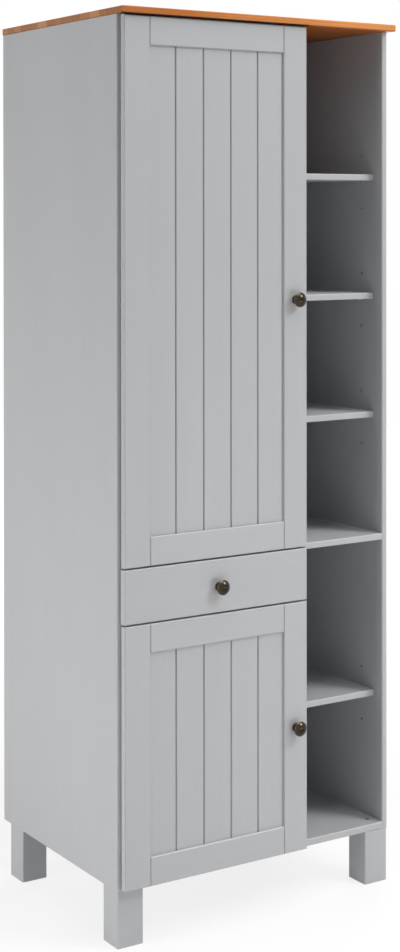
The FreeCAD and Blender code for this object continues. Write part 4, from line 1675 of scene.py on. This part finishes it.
@dataclass
class Studio:
    """The floor, the soft lamps, the white surround and the camera."""

    lamps: tuple[Lamp, ...] = (
        Lamp("right_key", 38.0, 39.0, 5.0, 1.5, 1.5, 116.0),
        Lamp("high_front_lamp", 5.0, 55.0, 4.5, 2.6, 2.6, 4.0),
        Lamp("left_lamp", -90.0, 8.0, 6.0, 3.0, 3.0, 92.0, (0.0, 0.0, 1.5)),
        Lamp("top_lamp", 10.0, 78.0, 4.5, 3.0, 3.0, 100.0),
        Lamp("rear_lamp", 135.0, 16.0, 6.0, 4.0, 4.0, 150.0),
        Lamp("low_front_lamp", 20.0, 4.0, 2.6, 1.8, 0.5, 9.5, (0.0, 0.0, 0.3)),
        Lamp("low_left_lamp", -92.0, 4.0, 2.4, 1.6, 0.5, 13.0, (0.0, 0.0, 0.3)),
        Lamp("front_floor_lamp", 0.0, 90.0, 2.4, 1.5, 1.5, 5.0, (0.2, -1.7, 0.0), 60.0),
        Lamp("left_floor_lamp", 0.0, 90.0, 2.4, 1.5, 1.5, 6.0, (-1.8, 0.0, 0.0), 60.0),
    )
    ambient: float = 0.027
    floor_size: float = 16.0
    floor_sides: int = 64
    floor_tone: Colour = tint(244, 244, 244)
    floor_dull: Colour = tint(242, 242, 242)
    floor_cloud_rate: float = 2.0
    floor_rough: float = 0.8
    floor_specular: float = 0.1
    floor_lift: float = 0.8
    shadow_reach: float = 1.0
    white_from: float = 2.6
    camera_place: Triple = (-1.9929, -3.1127, 1.4023)
    camera_yaw: float = -32.6526
    camera_pitch: float = -0.3711
    camera_roll: float = 0.0525
    lens: float = 66.21
    sensor: float = 36.0
    shift_down: float = -0.2620
    sight: float = 100.0

    def surround(self) -> None:
        """A surround that shows white and lights the cabinet a little from all sides."""
        world = bpy.data.worlds.new("surround")
        bpy.context.scene.world = world
        world.use_nodes = True
        sheet = NodeSheet(world.node_tree)
        level = sheet.spread(sheet.seen(), 0, 1, self.ambient, 1)
        glow = sheet.add("ShaderNodeBackground", WHITE, level)
        sheet.add("ShaderNodeOutputWorld", glow.outputs["Background"])

    def floor(self) -> bpy.types.Object:
        """A plain pale floor that shows white and keeps the cabinet's shadow.

        Returns:
            The floor.
        """
        form = bmesh.new()
        bmesh.ops.create_circle(form, cap_ends=True, segments=self.floor_sides, radius=self.floor_size / 2)
        mesh = as_mesh(form, "studio_floor")
        sheet = Sheet("studio_floor")
        across, deep, _ = sheet.parts(sheet.place)
        away = sheet.length(across, deep)
        lift = sheet.spread(away, self.shadow_reach, self.white_from, self.floor_lift, 1)
        lift = sheet.times(sheet.seen(), lift)
        cloud = sheet.noise(sheet.place, self.floor_cloud_rate, 2)
        shade = sheet.blend(cloud, self.floor_dull, self.floor_tone)
        sheet.show({
            "Base Color": sheet.blend(lift, shade, BLACK),
            "Roughness": self.floor_rough,
            "Specular IOR Level": self.floor_specular,
            "Emission Color": WHITE,
            "Emission Strength": lift,
        })
        mesh.materials.append(sheet.material)
        made = linked("studio_floor", mesh)
        return made

    def camera(self) -> bpy.types.Object:
        """The camera where the photograph was taken from.

        Returns:
            The camera.
        """
        data = bpy.data.cameras.new("photo_camera")
        data.lens = self.lens
        data.sensor_width = self.sensor
        data.shift_y = self.shift_down
        data.clip_end = self.sight
        made = linked("photo_camera", data)
        made.location = self.camera_place
        turn = (90 + self.camera_pitch, self.camera_roll, self.camera_yaw)
        made.rotation_euler = [math.radians(angle) for angle in turn]
        bpy.context.scene.camera = made
        return made

    def build(self) -> None:
        """Sets the studio up."""
        bpy.context.scene.view_settings.view_transform = "Standard"
        self.surround()
        self.floor()
        self.camera()
        for lamp in self.lamps:
            lamp.build()


def main() -> None:
    """Dresses the frame, makes the new pieces and sets the studio up."""
    logging.basicConfig(level=logging.INFO, format="%(name)s: %(message)s")
    bronze = KNOB_BRONZE.material("knob_bronze")
    steel = NICKEL.material("nickel_plate")
    dark_steel = DARK_PLATE.material("dark_plate")
    plastic = CATCH_PLASTIC.material("catch_plastic")
    carcass = Carcass(steel, dark_steel)
    catches = Catches(plastic, steel)
    doors = [
        Door("upper_door", Body.UPPER_DOOR, bronze, steel),
        Door("lower_door", Body.LOWER_DOOR, bronze, steel),
    ]
    drawer = Drawer(bronze, steel)
    for group in (carcass, catches, *doors, drawer):
        group.dress()
    for group in (carcass, Feet(dark_steel), catches, *doors, drawer):
        for piece in group.build():
            made = piece.make()
            LOG.info("made %s on %s with %d faces", made.name, piece.body.value, len(made.data.polygons))
    Studio().build()


if __name__ == "__main__":
    main()
